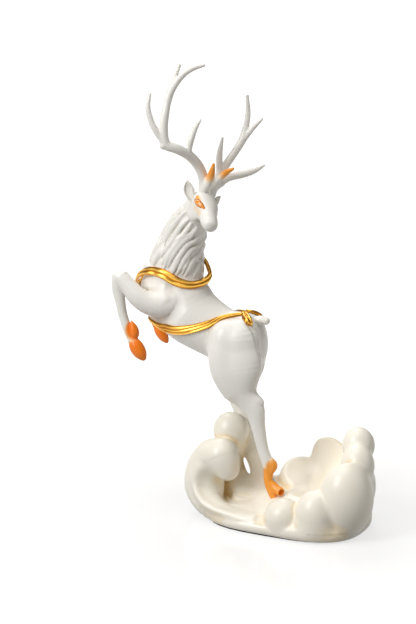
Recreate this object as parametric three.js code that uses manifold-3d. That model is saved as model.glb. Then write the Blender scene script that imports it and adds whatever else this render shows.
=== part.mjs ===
// A rearing deer on a cloud-shaped bowl, in millimetres with +Z up.
// The deer faces -X, so its left side faces -Y. The ground is z = 0.
import * as THREE from 'three';
import { mergeVertices } from 'three/addons/utils/BufferGeometryUtils.js';
import Module from 'manifold-3d';

const wasm = await Module();
wasm.setup();

// Clearances
const GLUE_GAP = 0.3;
const FREE_FIT = 0.3;
const BORE_FIT = 0.6;

// How finely each kind of form is faceted: points round it, and rings from station to station
const TRUNK_DETAIL = { sides: 18, steps: 2 };
const NECK_DETAIL = { sides: 14, steps: 2 };
const LEG_DETAIL = { sides: 12, steps: 1 };
const SKULL_DETAIL = { sides: 14, steps: 1 };
const TAIL_DETAIL = { sides: 10, steps: 2 };
const LOCK_DETAIL = { sides: 5, steps: 1 };
const RIBBON_DETAIL = { sides: 6, steps: 1 };
const CLOUD_DETAIL = { sides: 11, steps: 1 };

// What tidying may drop from a solid
const SLIVER_VOLUME = 0.5;
const SMALLEST_STEP = 0.12;
const SMALLEST_STEP_OF_CLOUD = 1.3;

// Underside of the base
const PAD_THICKNESS = 1.2;
const PAD_INSET = 1;
const BASE_UNDERSIDE = PAD_THICKNESS + GLUE_GAP;

// Steel inside the hind legs, and what holds it below
const ROD_DIAMETER = 4;
const NUT_ACROSS_CORNERS = 8;
const NUT_HEIGHT = 3.2;
const WASHER_DIAMETER = 9;
const WASHER_THICKNESS = 0.8;
const POCKET_DIAMETER = 13;
const POCKET_DEPTH = 9;
const ROD_OVERRUN = 1.2;

// Antler pins and moulded pegs of the forelegs
const PIN_DIAMETER = 3;
const PIN_IN_HEAD = 10;
const PIN_IN_ANTLER = 9;
const PEG_DIAMETER = 8;
const PEG_LENGTH = 20;
const PEG_START = 0.15;

// Cloud: the foot of the whole base, and the skirt that rises from it below the bowl
const FOOT_AT = [1, -3];
const FOOT_LENGTH = 149;
const FOOT_WIDTH = 100;
const FOOT_HEIGHT = 18;
const FOOT_SQUARENESS = 3;
const FOOT_FLARE = 2;
const SKIRT_AT = [33, -3];
const SKIRT_LENGTH = 88;
const SKIRT_WIDTH = 95;
const SKIRT_HEIGHT = 36;
const SKIRT_SQUARENESS = 2.4;
const SKIRT_FLARE = 3.5;

// The bowl, its shallow end below the hooves, its wall and the plane of its rim; the well on the left
const BOWL_AT = [36, 2, 70];
const BOWL_RADII = [45, 38, 52];
const BOWL_END_AT = [6, 8, 62];
const BOWL_END_RADII = [37, 29, 34];
const BOWL_SHELL_AT = [34, 0, 42];
const BOWL_SHELL_RADII = [53, 45, 46];
const RIM_AT = [0, 0, 22];
const RIM_RISE_RIGHT = 34;
const RIM_RISE_BACK = 18;
const WELL_AT = [-58, -9, 42];
const WELL_RADII = [34, 31, 31];
const SADDLE_TOP = 29;
const SADDLE_DEPTH = 12;
const SADDLE_WIDTH = 30;

// Hind hooves, where they stand on the saddle of the cloud
const HOOF_LEFT = [-2, -19, SADDLE_TOP];
const HOOF_RIGHT = [-31, 18, SADDLE_TOP];

// Head: centre of the poll, and how the face is turned, in degrees from the deer's left
const POLL = [-90.5, -4, 308.5];
const HEAD_YAW = -48;
const HEAD_PITCH = -23.5;
const HEAD_ROLL = 23;
const HEAD_LENGTH = 48;
const EYE_RADII = [4.6, 2.8, 1.7];
const EYE_TILT = -14;
const EYE_SUNK = 1;

// Ribbons
const NECK_RIBBON_WIDTH = 8.5;
const TRUNK_RIBBON_WIDTH = 8;
const RIBBON_THICKNESS = 4.6;
const CURL_RADIUS = 4.4;

const vec = (p) => new THREE.Vector3(...p);
const radians = THREE.MathUtils.degToRad;
const sideways = new THREE.Vector3(0, 1, 0);
const upward = new THREE.Vector3(0, 0, 1);

// Solids

function toManifold(geometry) {
  const bare = geometry.clone();
  bare.deleteAttribute('normal');
  bare.deleteAttribute('uv');
  const merged = mergeVertices(bare, 1e-4);
  return new wasm.Manifold(new wasm.Mesh({
    numProp: 3,
    vertProperties: new Float32Array(merged.attributes.position.array),
    triVerts: new Uint32Array(merged.index.array),
  }));
}

function toGeometry(solid) {
  const { vertProperties, triVerts, numProp } = solid.getMesh();
  const geometry = new THREE.BufferGeometry();
  const positions = new Float32Array((vertProperties.length / numProp) * 3);
  for (let i = 0; i < positions.length / 3; i += 1) {
    positions.set(vertProperties.slice(i * numProp, i * numProp + 3), i * 3);
  }
  geometry.setAttribute('position', new THREE.BufferAttribute(positions, 3));
  geometry.setIndex([...triVerts]);
  geometry.computeVertexNormals();
  return geometry;
}

function union(solids) {
  return wasm.Manifold.union(solids);
}

// Cuts can leave slivers of no volume, and faces far smaller than the eye can see.
function tidy(solid) {
  const pieces = solid.decompose().filter((piece) => piece.volume() > SLIVER_VOLUME);
  return union(pieces).simplify(SMALLEST_STEP);
}

function ellipsoid(at, radii, turn = new THREE.Quaternion(), segments = 14) {
  const geometry = new THREE.SphereGeometry(1, segments, Math.round(segments * 0.6));
  geometry.scale(...radii);
  geometry.applyQuaternion(turn);
  geometry.translate(...at);
  return toManifold(geometry);
}

function rod(from, to, radius, segments = 16) {
  const axis = to.clone().sub(from);
  const geometry = new THREE.CylinderGeometry(radius, radius, axis.length(), segments);
  geometry.applyQuaternion(new THREE.Quaternion().setFromUnitVectors(sideways, axis.clone().normalize()));
  geometry.translate(...from.clone().add(to).multiplyScalar(0.5));
  return toManifold(geometry);
}

// A form is a skin over elliptical stations along a spine.
// Each station gives its centre, its half width and its half depth.
class Form {
  // An axis, if given, keeps every ring square to it, whichever way the spine wanders.
  constructor(stations, side = sideways, { power = 2, axis } = {}) {
    this.spine = new THREE.CatmullRomCurve3(stations.map(([at]) => vec(at)), false, 'centripetal');
    this.sizes = new THREE.CatmullRomCurve3(
      stations.map(([, wide, deep]) => new THREE.Vector3(wide, deep, 0)),
    );
    this.side = side;
    this.power = power;
    this.axis = axis;
    this.spans = stations.length - 1;
  }

  ring(t) {
    const centre = this.spine.getPoint(t);
    const tangent = (this.axis ?? this.spine.getTangent(t)).clone();
    const side = typeof this.side === 'function' ? this.side(t, tangent) : this.side.clone();
    const across = side.addScaledVector(tangent, -side.dot(tangent)).normalize();
    const depth = new THREE.Vector3().crossVectors(tangent, across);
    const size = this.sizes.getPoint(t);
    return { centre, tangent, across, depth, wide: size.x, deep: size.y };
  }

  // A point of the skin, at an angle in degrees from the across direction, lifted off by a height.
  point(t, degrees, lift = 0) {
    const { centre, across, depth, wide, deep } = this.ring(t);
    const bend = (x) => Math.sign(x) * Math.abs(x) ** (2 / this.power);
    return centre.clone()
      .addScaledVector(across, bend(Math.cos(radians(degrees))) * (wide + lift))
      .addScaledVector(depth, bend(Math.sin(radians(degrees))) * (deep + lift));
  }

  geometry({ grow = 0, sides = 20, steps = 3, tip = 0.45 } = {}) {
    const count = this.spans * steps;
    const positions = [];
    const indices = [];
    for (let i = 0; i <= count; i += 1) {
      for (let k = 0; k < sides; k += 1) {
        positions.push(...this.point(i / count, (360 * k) / sides, grow));
      }
    }
    for (let i = 0; i < count; i += 1) {
      for (let k = 0; k < sides; k += 1) {
        const a = i * sides + k;
        const b = i * sides + ((k + 1) % sides);
        indices.push(a, b, b + sides, a, b + sides, a + sides);
      }
    }
    for (const [t, sign] of [[0, -1], [1, 1]]) {
      const { centre, tangent, wide, deep } = this.ring(t);
      const first = t * count * sides;
      const pole = positions.length / 3;
      positions.push(...centre.addScaledVector(tangent, sign * (grow + tip * Math.min(wide, deep))));
      for (let k = 0; k < sides; k += 1) {
        const a = first + k;
        const b = first + ((k + 1) % sides);
        indices.push(pole, ...(sign < 0 ? [b, a] : [a, b]));
      }
    }
    const geometry = new THREE.BufferGeometry();
    geometry.setAttribute('position', new THREE.Float32BufferAttribute(positions, 3));
    geometry.setIndex(indices);
    return geometry;
  }

  solid(options) {
    return toManifold(this.geometry(options));
  }
}

// Trunk, neck and hind legs

const trunk = new Form([
  [[-151, 0, 208], 10, 11],
  [[-138, 0, 211], 21, 25],
  [[-122, 0, 207], 27, 33],
  [[-105.5, 0, 193], 28, 30],
  [[-88.5, 0, 183.5], 25, 27.5],
  [[-71, 0, 176], 22, 26.5],
  [[-56, 0, 171.5], 25, 28],
  [[-43, 0, 170], 24, 28],
  [[-34.5, 0, 170.5], 18, 20],
]);

const neck = new Form([
  [[-122, 0, 218], 22, 29],
  [[-120, 0, 243], 22, 25],
  [[-115, 0, 259], 19.5, 21],
  [[-109, 0, 274.5], 17, 18.5],
  [[-102, -1, 288], 14, 15],
  [[-96, -3, 299], 11, 11.5],
  [[-91.5, -4, 306], 8, 8.5],
]);

const hindLegs = {
  left: new Form([
    [[-57, -13, 186], 11, 19],
    [[-52.5, -15, 176], 14, 26],
    [[-50, -17, 163], 15.5, 26.5],
    [[-46.5, -19, 150], 14.5, 26.5],
    [[-44, -20, 139], 12.5, 21.5],
    [[-40.5, -20, 129], 10.5, 15.5],
    [[-33, -20, 119], 8.6, 11.5],
    [[-26.5, -20, 111], 7.2, 10.2],
    [[-23.8, -19.5, 98.5], 6, 7.6],
    [[-21, -19, 84], 5.2, 6.2],
    [[-18, -18.5, 72], 5.2, 5.8],
    [[-15.5, -18, 62], 5.6, 6.2],
    [[-11.5, -18, 53], 6.2, 7.4],
    [[-8, -18.5, 43], 6, 6.4],
    [[HOOF_LEFT[0] - 3, HOOF_LEFT[1], HOOF_LEFT[2] + 7], 7, 7.8],
    [[...HOOF_LEFT], 7.4, 8.6],
  ]),
  right: new Form([
    [[-56, 13, 184], 11, 18],
    [[-54, 15, 174], 14, 20],
    [[-53.5, 17, 162], 15.5, 20],
    [[-55, 18, 149], 14.5, 20.5],
    [[-58, 19, 136], 12.5, 18],
    [[-63, 18.5, 122], 9.5, 13],
    [[-62.5, 18, 110], 7.5, 9.8],
    [[-59, 18, 98], 6.2, 8],
    [[-52, 18, 79], 5.2, 6.2],
    [[-45, 18, 61], 5.2, 5.8],
    [[-40, 18, 48], 6, 7],
    [[-36, 18, 40], 6, 6.4],
    [[HOOF_RIGHT[0] - 2, HOOF_RIGHT[1], HOOF_RIGHT[2] + 5], 7, 7.8],
    [[...HOOF_RIGHT], 7.4, 8.2],
  ]),
};

// Everything that other pieces are seated on, grown by a clearance to cut their seats.
function bodySolid(grow) {
  return union([
    trunk.solid({ grow, ...TRUNK_DETAIL }),
    neck.solid({ grow, ...NECK_DETAIL }),
    hindLegs.left.solid({ grow, ...LEG_DETAIL }),
    hindLegs.right.solid({ grow, ...LEG_DETAIL }),
  ]);
}

// A lock of the mane lies on the neck from one place on its skin to another.
const MANE_ROWS = 3;
const LOCKS_IN_ROW = 5;
const LOCK_WIDTH = 7;
const LOCK_DEPTH = 2.8;
const LOCK_SUNK = 0.5;
const LOCK_SWEEP = 34;
const LOCK_LENGTH = 0.32;
const MANE_TOP = 0.8;
const MANE_ROW_DROP = 0.17;
const SMALL_TURN = 5;

function maneLock(start, end, degrees, grow) {
  const places = [0, 0.33, 0.66, 1];
  const swell = [0.35, 1, 0.8, 0.15];
  const stations = places.map((p, i) => {
    const t = THREE.MathUtils.lerp(start, end, p);
    const at = neck.point(t, degrees + LOCK_SWEEP * p, -LOCK_SUNK);
    return [[at.x, at.y, at.z], LOCK_WIDTH * swell[i], LOCK_DEPTH * swell[i]];
  });
  const around = (p) => {
    const t = THREE.MathUtils.lerp(start, end, p);
    const angle = degrees + LOCK_SWEEP * p;
    return neck.point(t, angle + SMALL_TURN).sub(neck.point(t, angle - SMALL_TURN));
  };
  return new Form(stations, around).solid({ grow, ...LOCK_DETAIL });
}

function mane(grow) {
  const locks = [];
  for (let row = 0; row < MANE_ROWS; row += 1) {
    for (let i = 0; i < LOCKS_IN_ROW; i += 1) {
      const start = MANE_TOP - row * MANE_ROW_DROP;
      const degrees = (360 / LOCKS_IN_ROW) * (i + 0.5 * (row % 2));
      locks.push(maneLock(start, start - LOCK_LENGTH, degrees, grow));
    }
  }
  return locks;
}

// Head

const headAxes = (() => {
  const turn = new THREE.Quaternion().setFromEuler(
    new THREE.Euler(radians(-HEAD_ROLL), radians(-HEAD_PITCH), radians(HEAD_YAW), 'ZYX'),
  );
  const forward = new THREE.Vector3(1, 0, 0).applyQuaternion(turn);
  const right = new THREE.Vector3(0, -1, 0).applyQuaternion(turn);
  const up = new THREE.Vector3(0, 0, 1).applyQuaternion(turn);
  return { forward, right, up };
})();

// A place on the head: shares of its length forward, to its right and up from the poll.
function onHead(forward, right, up) {
  return vec(POLL)
    .addScaledVector(headAxes.forward, forward * HEAD_LENGTH)
    .addScaledVector(headAxes.right, right * HEAD_LENGTH)
    .addScaledVector(headAxes.up, up * HEAD_LENGTH);
}

function headStation(forward, up, wide, deep) {
  return [onHead(forward, 0, up).toArray(), wide * HEAD_LENGTH, deep * HEAD_LENGTH];
}

const skull = new Form([
  headStation(-0.1, -0.07, 0.13, 0.13),
  headStation(0, -0.07, 0.21, 0.22),
  headStation(0.16, -0.1, 0.27, 0.29),
  headStation(0.34, -0.11, 0.28, 0.3),
  headStation(0.52, -0.1, 0.23, 0.235),
  headStation(0.7, -0.1, 0.17, 0.165),
  headStation(0.84, -0.1, 0.15, 0.145),
  headStation(0.94, -0.11, 0.13, 0.125),
  headStation(1, -0.12, 0.08, 0.08),
], headAxes.right);

const EYE_PLACE = { along: 0.455, above: 31 };

function eyeSolid(sign, grow) {
  const angle = sign > 0 ? -EYE_PLACE.above : 180 + EYE_PLACE.above;
  const at = skull.point(EYE_PLACE.along, angle, -EYE_SUNK);
  const along = skull.point(EYE_PLACE.along + 0.05, angle).sub(skull.point(EYE_PLACE.along - 0.05, angle));
  const around = skull.point(EYE_PLACE.along, angle + 8).sub(skull.point(EYE_PLACE.along, angle - 8));
  along.normalize();
  const out = new THREE.Vector3().crossVectors(along, around).normalize();
  const across = new THREE.Vector3().crossVectors(out, along);
  const turn = new THREE.Quaternion().setFromRotationMatrix(
    new THREE.Matrix4().makeBasis(along, across, out),
  );
  turn.multiply(new THREE.Quaternion().setFromAxisAngle(upward, radians(-EYE_TILT * sign)));
  return ellipsoid(at, EYE_RADII.map((r) => r + grow), turn, 10);
}

// A brow overhangs each eye.
const BROW_AT = { forward: 0.35, aside: 0.155, up: 0.08 };
const BROW_RADII = [9, 3.6, 3];

function browSolid(sign) {
  const turn = new THREE.Quaternion().setFromRotationMatrix(
    new THREE.Matrix4().makeBasis(headAxes.forward, headAxes.right.clone().negate(), headAxes.up),
  );
  const at = onHead(BROW_AT.forward, sign * BROW_AT.aside, BROW_AT.up);
  return ellipsoid(at.toArray(), BROW_RADII, turn, 8);
}

// Ears: base, middle and tip as places on the head.
const EAR_WIDTH = 4.6;
const EAR_DEPTH = 2.6;
const EAR_CUP = 1.5;
const EAR_HOLLOW = 0.72;
const EAR_TURNED_OUT = 0.7;
const ears = {
  right: [onHead(0.15, 0.22, -0.06), onHead(0, 0.34, 0.05), onHead(-0.13, 0.4, 0.17)],
  left: [onHead(0.08, -0.24, -0.04), onHead(-0.08, -0.33, 0.02), onHead(-0.22, -0.4, 0.07)],
};

function earSolid([base, middle, tip]) {
  const line = new THREE.QuadraticBezierCurve3(base, middle, tip);
  const sign = base === ears.right[0] ? 1 : -1;
  const open = headAxes.forward.clone().addScaledVector(headAxes.right, sign * EAR_TURNED_OUT).normalize();
  const across = () => new THREE.Vector3().crossVectors(open, tip.clone().sub(base)).normalize();
  const shell = (scale, offset) => new Form([0, 0.35, 0.7, 1].map((p, i) => [
    line.getPoint(p).addScaledVector(open, offset).toArray(),
    [0.6, 1, 0.85, 0.15][i] * EAR_WIDTH * scale,
    [0.8, 1, 0.8, 0.3][i] * EAR_DEPTH * scale,
  ]), across).solid({ sides: 8, steps: 1 });
  return shell(1, 0).subtract(shell(EAR_HOLLOW, EAR_CUP));
}

// Antlers. Each point is given from the middle of the antler's foot on the crown.

const crown = {
  right: onHead(0.07, 0.08, 0.15),
  left: onHead(0.06, -0.13, 0.14),
};

const antlerBranches = {
  right: [
    {
      points: [
        [0, 0, 0], [1, -1, 11], [-1.5, -5.5, 23.5], [-7, -15.5, 35], [-14, -25.5, 41.5], [-22.5, -31.5, 46],
        [-25, -31.5, 59.5], [-24.5, -29.5, 73], [-23.5, -25.5, 86.5],
        [-21, -21.5, 100.5], [-17, -15.5, 117.5],
      ],
      foot: 4.6,
      tip: 1,
    },
    {
      points: [
        [-23.5, -25.5, 86.5], [-19.5, -22.5, 97.5], [-12, -19.5, 108.5],
        [-3.5, -15.5, 115], [5.5, -9.5, 118],
      ],
      foot: 2.4,
      tip: 0.9,
    },
    {
      points: [
        [-22, -30.5, 45.5], [-29.5, -35.5, 56.5], [-35.5, -37.5, 69.5],
        [-38, -37.5, 80.5], [-37, -35.5, 92],
      ],
      foot: 2.8,
      tip: 0.9,
    },
    {
      points: [
        [-8, -16.5, 36.5], [-4.5, -15.5, 50.5],
        [-2.5, -11.5, 60], [1, -7.5, 67.5],
      ],
      foot: 2.7, tip: 0.9,
    },
    { points: [[2, -2, 2], [7.5, -3.5, 9], [11.5, -5.5, 17.5], [15, -8, 26.5]], foot: 3.4, tip: 1.1 },
  ],
  left: [
    {
      points: [
        [0, 0, 0], [0.5, 6.5, 9], [2, 15.5, 19.5], [9, 23.5, 33.5], [15.5, 29.5, 46.5], [19, 32.5, 59],
        [21.5, 33.5, 74.5], [21, 32.5, 91.5],
      ],
      foot: 4.4,
      tip: 1,
    },
    { points: [[14, 28.5, 43.5], [19, 31, 51], [26, 33.5, 60.5], [34, 37.5, 69.5]], foot: 2.5, tip: 0.9 },
    { points: [[1.5, 14, 17.5], [1, 14, 35.5], [4.5, 13.5, 52.5]], foot: 2.9, tip: 0.9 },
    {
      points: [
        [0.5, 4, 6], [8, 18.5, 14], [21, 27.5, 16],
        [29, 33.5, 19.5], [36, 39.5, 25.5],
      ],
      foot: 3.4, tip: 0.9,
    },
    { points: [[1, -1, 3], [6, 3, 14.5], [12, 6.5, 21], [18, 8.5, 24.5]], foot: 3.2, tip: 1.1 },
  ],
};

const antlerKnobs = {
  right: [[[-24.5, -33.5, 44.5], 3.1]],
  left: [[[5, 11, 9.5], 2.8]],
};

const ANTLER_TAPER = 1.3;
const CORONET_RADIUS = 5.4;
const CORONET_HEIGHT = 1.8;

function antlerAxis(side) {
  return vec(antlerBranches[side][0].points[1]).normalize();
}

function antlerSolid(side) {
  const foot = crown[side];
  const place = (p) => foot.clone().add(vec(p)).toArray();
  const branches = antlerBranches[side].map(({ points, foot: thick, tip }) => {
    const last = points.length - 1;
    const stations = points.map((p, i) => {
      const radius = THREE.MathUtils.lerp(thick, tip, (i / last) ** ANTLER_TAPER);
      return [place(p), radius, radius];
    });
    return new Form(stations, new THREE.Vector3(0.35, 1, 0)).solid({ sides: 5, steps: 1, tip: 0.9 });
  });
  const knobs = antlerKnobs[side].map(
    ([at, radius]) => ellipsoid(place(at), [radius, radius, radius], undefined, 8),
  );
  const turn = new THREE.Quaternion().setFromUnitVectors(upward, antlerAxis(side));
  const coronet = ellipsoid(foot.clone().addScaledVector(antlerAxis(side), CORONET_HEIGHT).toArray(),
    [CORONET_RADIUS, CORONET_RADIUS, CORONET_HEIGHT], turn, 12);
  return union([...branches, ...knobs, coronet]);
}

function antlerPin(side, grow) {
  const axis = antlerAxis(side);
  const from = crown[side].clone().addScaledVector(axis, -PIN_IN_HEAD - grow);
  const to = crown[side].clone().addScaledVector(axis, PIN_IN_ANTLER + grow);
  return rod(from, to, PIN_DIAMETER / 2 + grow, 12);
}

// Forelegs

const forelegs = {
  left: new Form([
    [[-107, -13, 213], 9, 15],
    [[-121, -21, 204], 11, 15],
    [[-135.5, -28, 204], 10, 13],
    [[-146, -32, 211.5], 8.4, 10.6],
    [[-155.5, -33, 221.5], 7.2, 8.8],
    [[-164, -33, 228.5], 6.8, 8],
    [[-166, -33, 218.5], 5.6, 6.6],
    [[-164, -33, 205], 4.6, 5.1],
    [[-162.3, -33, 194], 4.3, 4.6],
    [[-159, -33, 183], 4.6, 4.6],
    [[-154.5, -33, 174.5], 5.6, 6.4],
    [[-151.5, -33, 167.5], 5, 5.2],
    [[-146, -33, 160], 6.2, 7.2],
    [[-140.5, -33, 152], 3.4, 4],
  ]),
  right: new Form([
    [[-107, 13, 213], 9, 15],
    [[-121, 21, 204], 11, 15],
    [[-137, 28, 204], 10, 13],
    [[-148, 31.5, 211.5], 8.4, 10.6],
    [[-158, 32, 221.5], 7.2, 8.8],
    [[-166, 32, 228.5], 6.8, 8],
    [[-168.5, 32, 217.5], 5.4, 6.2],
    [[-168, 32, 205], 4.6, 5.1],
    [[-167, 32, 194], 4.3, 4.6],
    [[-165.5, 32, 184], 4.6, 4.6],
    [[-162.5, 32, 175.5], 5.6, 6.4],
    [[-160, 32, 168.5], 5, 5.2],
    [[-155, 32, 161.5], 6.2, 7.2],
    [[-150.5, 32, 155], 3.4, 4],
  ]),
};

function forelegPeg(side, grow) {
  const from = forelegs[side].ring(PEG_START).centre;
  const inward = forelegs[side].ring(0).centre.sub(from).normalize();
  return rod(from, from.clone().addScaledVector(inward, PEG_LENGTH + grow), PEG_DIAMETER / 2 + grow, 12);
}

// Tail

const tail = new Form([
  [[-45, 0, 186], 5, 5.5],
  [[-38, 0, 191], 5.4, 4.6],
  [[-30, 0, 194.5], 4.4, 3.6],
  [[-23, 0, 194], 2.6, 2.2],
]);

// Ribbons are laid on the skin: outward from a middle point, past the skin by a lift.

const skin = new THREE.Mesh(
  toGeometry(bodySolid(0)),
  new THREE.MeshBasicMaterial({ side: THREE.DoubleSide }),
);

function layOnSkin(middle, outward, lift) {
  const direction = outward.clone().normalize();
  const hits = new THREE.Raycaster(middle, direction).intersectObject(skin);
  const reach = Math.max(...hits.map((hit) => hit.distance));
  return middle.clone().addScaledVector(direction, reach + RIBBON_THICKNESS / 2 + lift);
}

function ribbonForm(places, width) {
  const stations = places.map(({ middle, outward, lift, swell }) => [
    layOnSkin(middle, outward, lift).toArray(),
    (width / 2) * swell,
    (RIBBON_THICKNESS / 2) * Math.sqrt(swell),
  ]);
  const away = new THREE.CatmullRomCurve3(places.map(({ outward }) => outward.clone().normalize()));
  return new Form(stations, (t, tangent) => away.getPoint(t).cross(tangent));
}

// The neck ribbon: directions from the middle of its loop, lift off the skin, and share of its width.
const NECK_LOOP_MIDDLE = [-120, 0, 230];
const NECK_LOOP = [
  [[-42, 0, -20], 4, 1], [[-40, -12, -13], 3, 1], [[-34, -20, -2], 3, 1], [[-22, -26, 6], 1.5, 1],
  [[-4, -30, 8.5], -1, 1], [[10, -26, 5], -1.2, 1], [[22, -22, 0], -1.2, 1], [[32, -14, -4], 1, 1],
  [[40, -4, 1], 2.5, 0.9], [[34, 4, 9], 1.5, 0.9], [[14, 22, 13], -1, 1], [[-6, 28, 9], -0.6, 1],
  [[-24, 24, 4], 1.5, 1], [[-35, 17, -5], 3, 1], [[-40, 10, -14], 3, 1], [[-42, 0, -20], 4, 1],
];

// The trunk ribbon: place along the trunk, degrees round it from the right, lift and share of its width.
const TRUNK_LOOP = [
  [0.15, 270, -0.5, 0.7], [0.24, 250, -0.8, 0.8], [0.31, 234, -1, 0.95], [0.362, 218, -1, 1],
  [0.426, 199, -1, 0.95], [0.5, 178, -1, 0.9], [0.56, 157, -1, 0.85], [0.614, 134, -0.8, 0.8],
  [0.678, 116, -0.4, 0.75], [0.756, 105, 0, 0.7], [0.83, 101, 0, 0.6],
];

function neckRibbon() {
  const places = NECK_LOOP.map(([outward, lift, swell]) => ({
    middle: vec(NECK_LOOP_MIDDLE), outward: vec(outward), lift, swell,
  }));
  return ribbonForm(places, NECK_RIBBON_WIDTH);
}

function trunkPlace(t, degrees, lift, swell) {
  const { centre, across, depth } = trunk.ring(t);
  const turn = radians(degrees);
  const outward = across.multiplyScalar(Math.cos(turn)).addScaledVector(depth, Math.sin(turn));
  return { middle: centre, outward, lift, swell };
}

// Degrees round the trunk are counted for the left side, and mirrored for the right.
function onSide(side, degrees) {
  return side === 'left' ? degrees : 540 - degrees;
}

function trunkRibbon(side) {
  const places = TRUNK_LOOP.map(([t, degrees, lift, swell]) => (
    trunkPlace(t, onSide(side, degrees), lift, swell)
  ));
  return ribbonForm(places, TRUNK_RIBBON_WIDTH);
}

// Each end of the trunk ribbon is rolled up beside the tail.
// Where the roll starts and ends: place, degrees and lift.
const CURL_FROM = [0.8, 94, 0];
const CURL_TO = [0.9, 128, 1];

function curledEnd(side) {
  const [from, to] = [CURL_FROM, CURL_TO].map(([t, degrees, rise]) => {
    const { middle, outward, lift } = trunkPlace(t, onSide(side, degrees), rise, 1);
    return layOnSkin(middle, outward, lift);
  });
  const stations = [0, 0.2, 0.5, 0.8, 1].map((p, i) => [
    from.clone().lerp(to, p).toArray(),
    CURL_RADIUS * [0.6, 0.9, 1, 1, 0.8][i],
    CURL_RADIUS * [0.6, 0.9, 1, 1, 0.8][i],
  ]);
  return new Form(stations, upward).solid({ sides: 8, steps: 1 });
}

// Cloud

// Round puffs of the rim that the bowl is hollowed out of, round the back: centre and radii.
const hollowedPuffs = [
  [[69, -22, 39], [25.5, 26, 36]],
  [[54, 31, 65], [19, 15, 24]],
  [[27, 34, 54], [21, 15, 25]],
  [[3, 33, 27], [27, 15.5, 28]],
  [[-25, 33, 13], [18, 13, 18]],
];

// Whole puffs that lie on the wall, from the near hoof round to the high corner, and the one on the wisp.
const wholePuffs = [
  [[14.5, -38.5, 16], [16.5, 15, 17.5]],
  [[45, -37.5, 24.5], [18.5, 17.5, 22.5]],
  [[72.5, -4, 66], [16, 15, 19.5]],
  [[69, 13, 81.5], [13.8, 14, 16.5]],
  [[-61, 0, 82], [17.4, 17.2, 17.6]],
];

// The scroll rises on the left from the front rim and ends in a round head that turns down into the well.
const scroll = new Form([
  [[8, -40, 9], 6, 7],
  [[-20, -41, 9], 7.5, 7],
  [[-48, -37, 9], 9.5, 9],
  [[-71, -27, 15], 14, 14],
  [[-83, -16, 28], 18.5, 18],
  [[-81, -16, 47], 17.5, 17.5],
  [[-73, -20, 60], 16, 16],
  [[-64, -22, 64], 15.5, 15.5],
], new THREE.Vector3(0, 1, 0.2));

const scrollHead = new Form([
  [[-62.5, -22, 76], 7, 7],
  [[-61, -22.5, 70], 14, 14],
  [[-59, -23, 63], 16.2, 16.2],
  [[-56, -24, 57], 15, 15],
  [[-53, -24.5, 49], 12, 12],
  [[-51, -25, 42], 7, 7],
]);

// The wall behind the scroll closes the left end of the well.
const leftWall = new Form([
  [[-88, -10, 44], 7, 11],
  [[-86, -6, 42], 7, 12],
  [[-80, 6, 36], 8, 16],
  [[-70, 14, 29], 10, 16],
  [[-58, 20, 22], 12, 14],
  [[-50, 24, 17], 12, 12],
]);

// The lip of the well is thick below that wall.
const wellLip = new Form([
  [[-84, -14, 18], 9, 11],
  [[-79, -2, 17], 9, 11],
  [[-71, 8, 15], 10, 11],
  [[-54, 18, 13], 11, 10],
]);

// A wisp of cloud carries the top puff and closes the back of the well.
const wisp = new Form([
  [[-60, 4, 72], 10, 10],
  [[-61, 10, 55], 7.5, 8],
  [[-62, 15, 40], 10, 11],
  [[-60, 19, 25], 17, 19],
  [[-58.5, 22, 11], 15, 17],
]);

// A sleeve of cloud wraps the far hind leg.
const sleeve = new Form([
  [[-55, 17.5, 86], 6, 6],
  [[-50, 15.5, 70], 7, 7],
  [[-44, 14, 55], 8.5, 8.5],
  [[-39, 12, 40], 10, 10],
  [[-36, 8, 24], 14, 14],
  [[-34.5, 5, 13], 13, 13],
]);

// A narrow slit parts the wisp from the sleeve.
const slit = new Form([
  [[-40.2, -7.5, 50.3], 8.5, 2.4],
  [[-60.8, 35.5, 35.3], 8.5, 2.4],
], new THREE.Vector3(-0.37, 0.03, 0.93));

// A low dome whose squarish outline swells a little above the ground and closes towards its top.
function dome(at, length, width, height, squareness, flare) {
  const stations = [0, 0.25, 0.6, 0.85, 0.96].map((rise) => {
    const swell = flare * Math.sin(Math.PI * rise ** 0.7);
    const closed = (1 - rise ** squareness) ** (1 / squareness);
    return [[...at, BASE_UNDERSIDE + rise * height], (width / 2 + swell) * closed, (length / 2 + swell) * closed];
  });
  return new Form(stations, sideways, { power: squareness, axis: upward });
}

const foot = dome(FOOT_AT, FOOT_LENGTH, FOOT_WIDTH, FOOT_HEIGHT, FOOT_SQUARENESS, FOOT_FLARE);
const skirt = dome(SKIRT_AT, SKIRT_LENGTH, SKIRT_WIDTH, SKIRT_HEIGHT, SKIRT_SQUARENESS, SKIRT_FLARE);

// Low ripples curl round the floor of the well: reach from their middle, and height.
const RIPPLES_AT = [-46, 2];
const RIPPLE_FROM = 168;
const RIPPLE_TO = 318;
const RIPPLE_SPREAD = 5;
const RIPPLE_LENGTHENED = 1.15;
const RIPPLE_END_RADIUS = 0.4;
const RIPPLE_SWELL = 2.2;
const ripples = [[11, 15.5], [18, 13], [25, 12.2], [31, 13]];

function ripple([reach, height], index) {
  const stations = [0, 0.25, 0.5, 0.75, 1].map((share) => {
    const spread = RIPPLE_SPREAD * index;
    const turn = radians(THREE.MathUtils.lerp(RIPPLE_FROM - spread, RIPPLE_TO + spread, share));
    const swell = RIPPLE_END_RADIUS + RIPPLE_SWELL * Math.sin(Math.PI * share);
    const x = RIPPLES_AT[0] + RIPPLE_LENGTHENED * reach * Math.cos(turn);
    const y = RIPPLES_AT[1] + reach * Math.sin(turn);
    return [[x, y, height], swell, swell];
  });
  return new Form(stations, upward);
}

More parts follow.
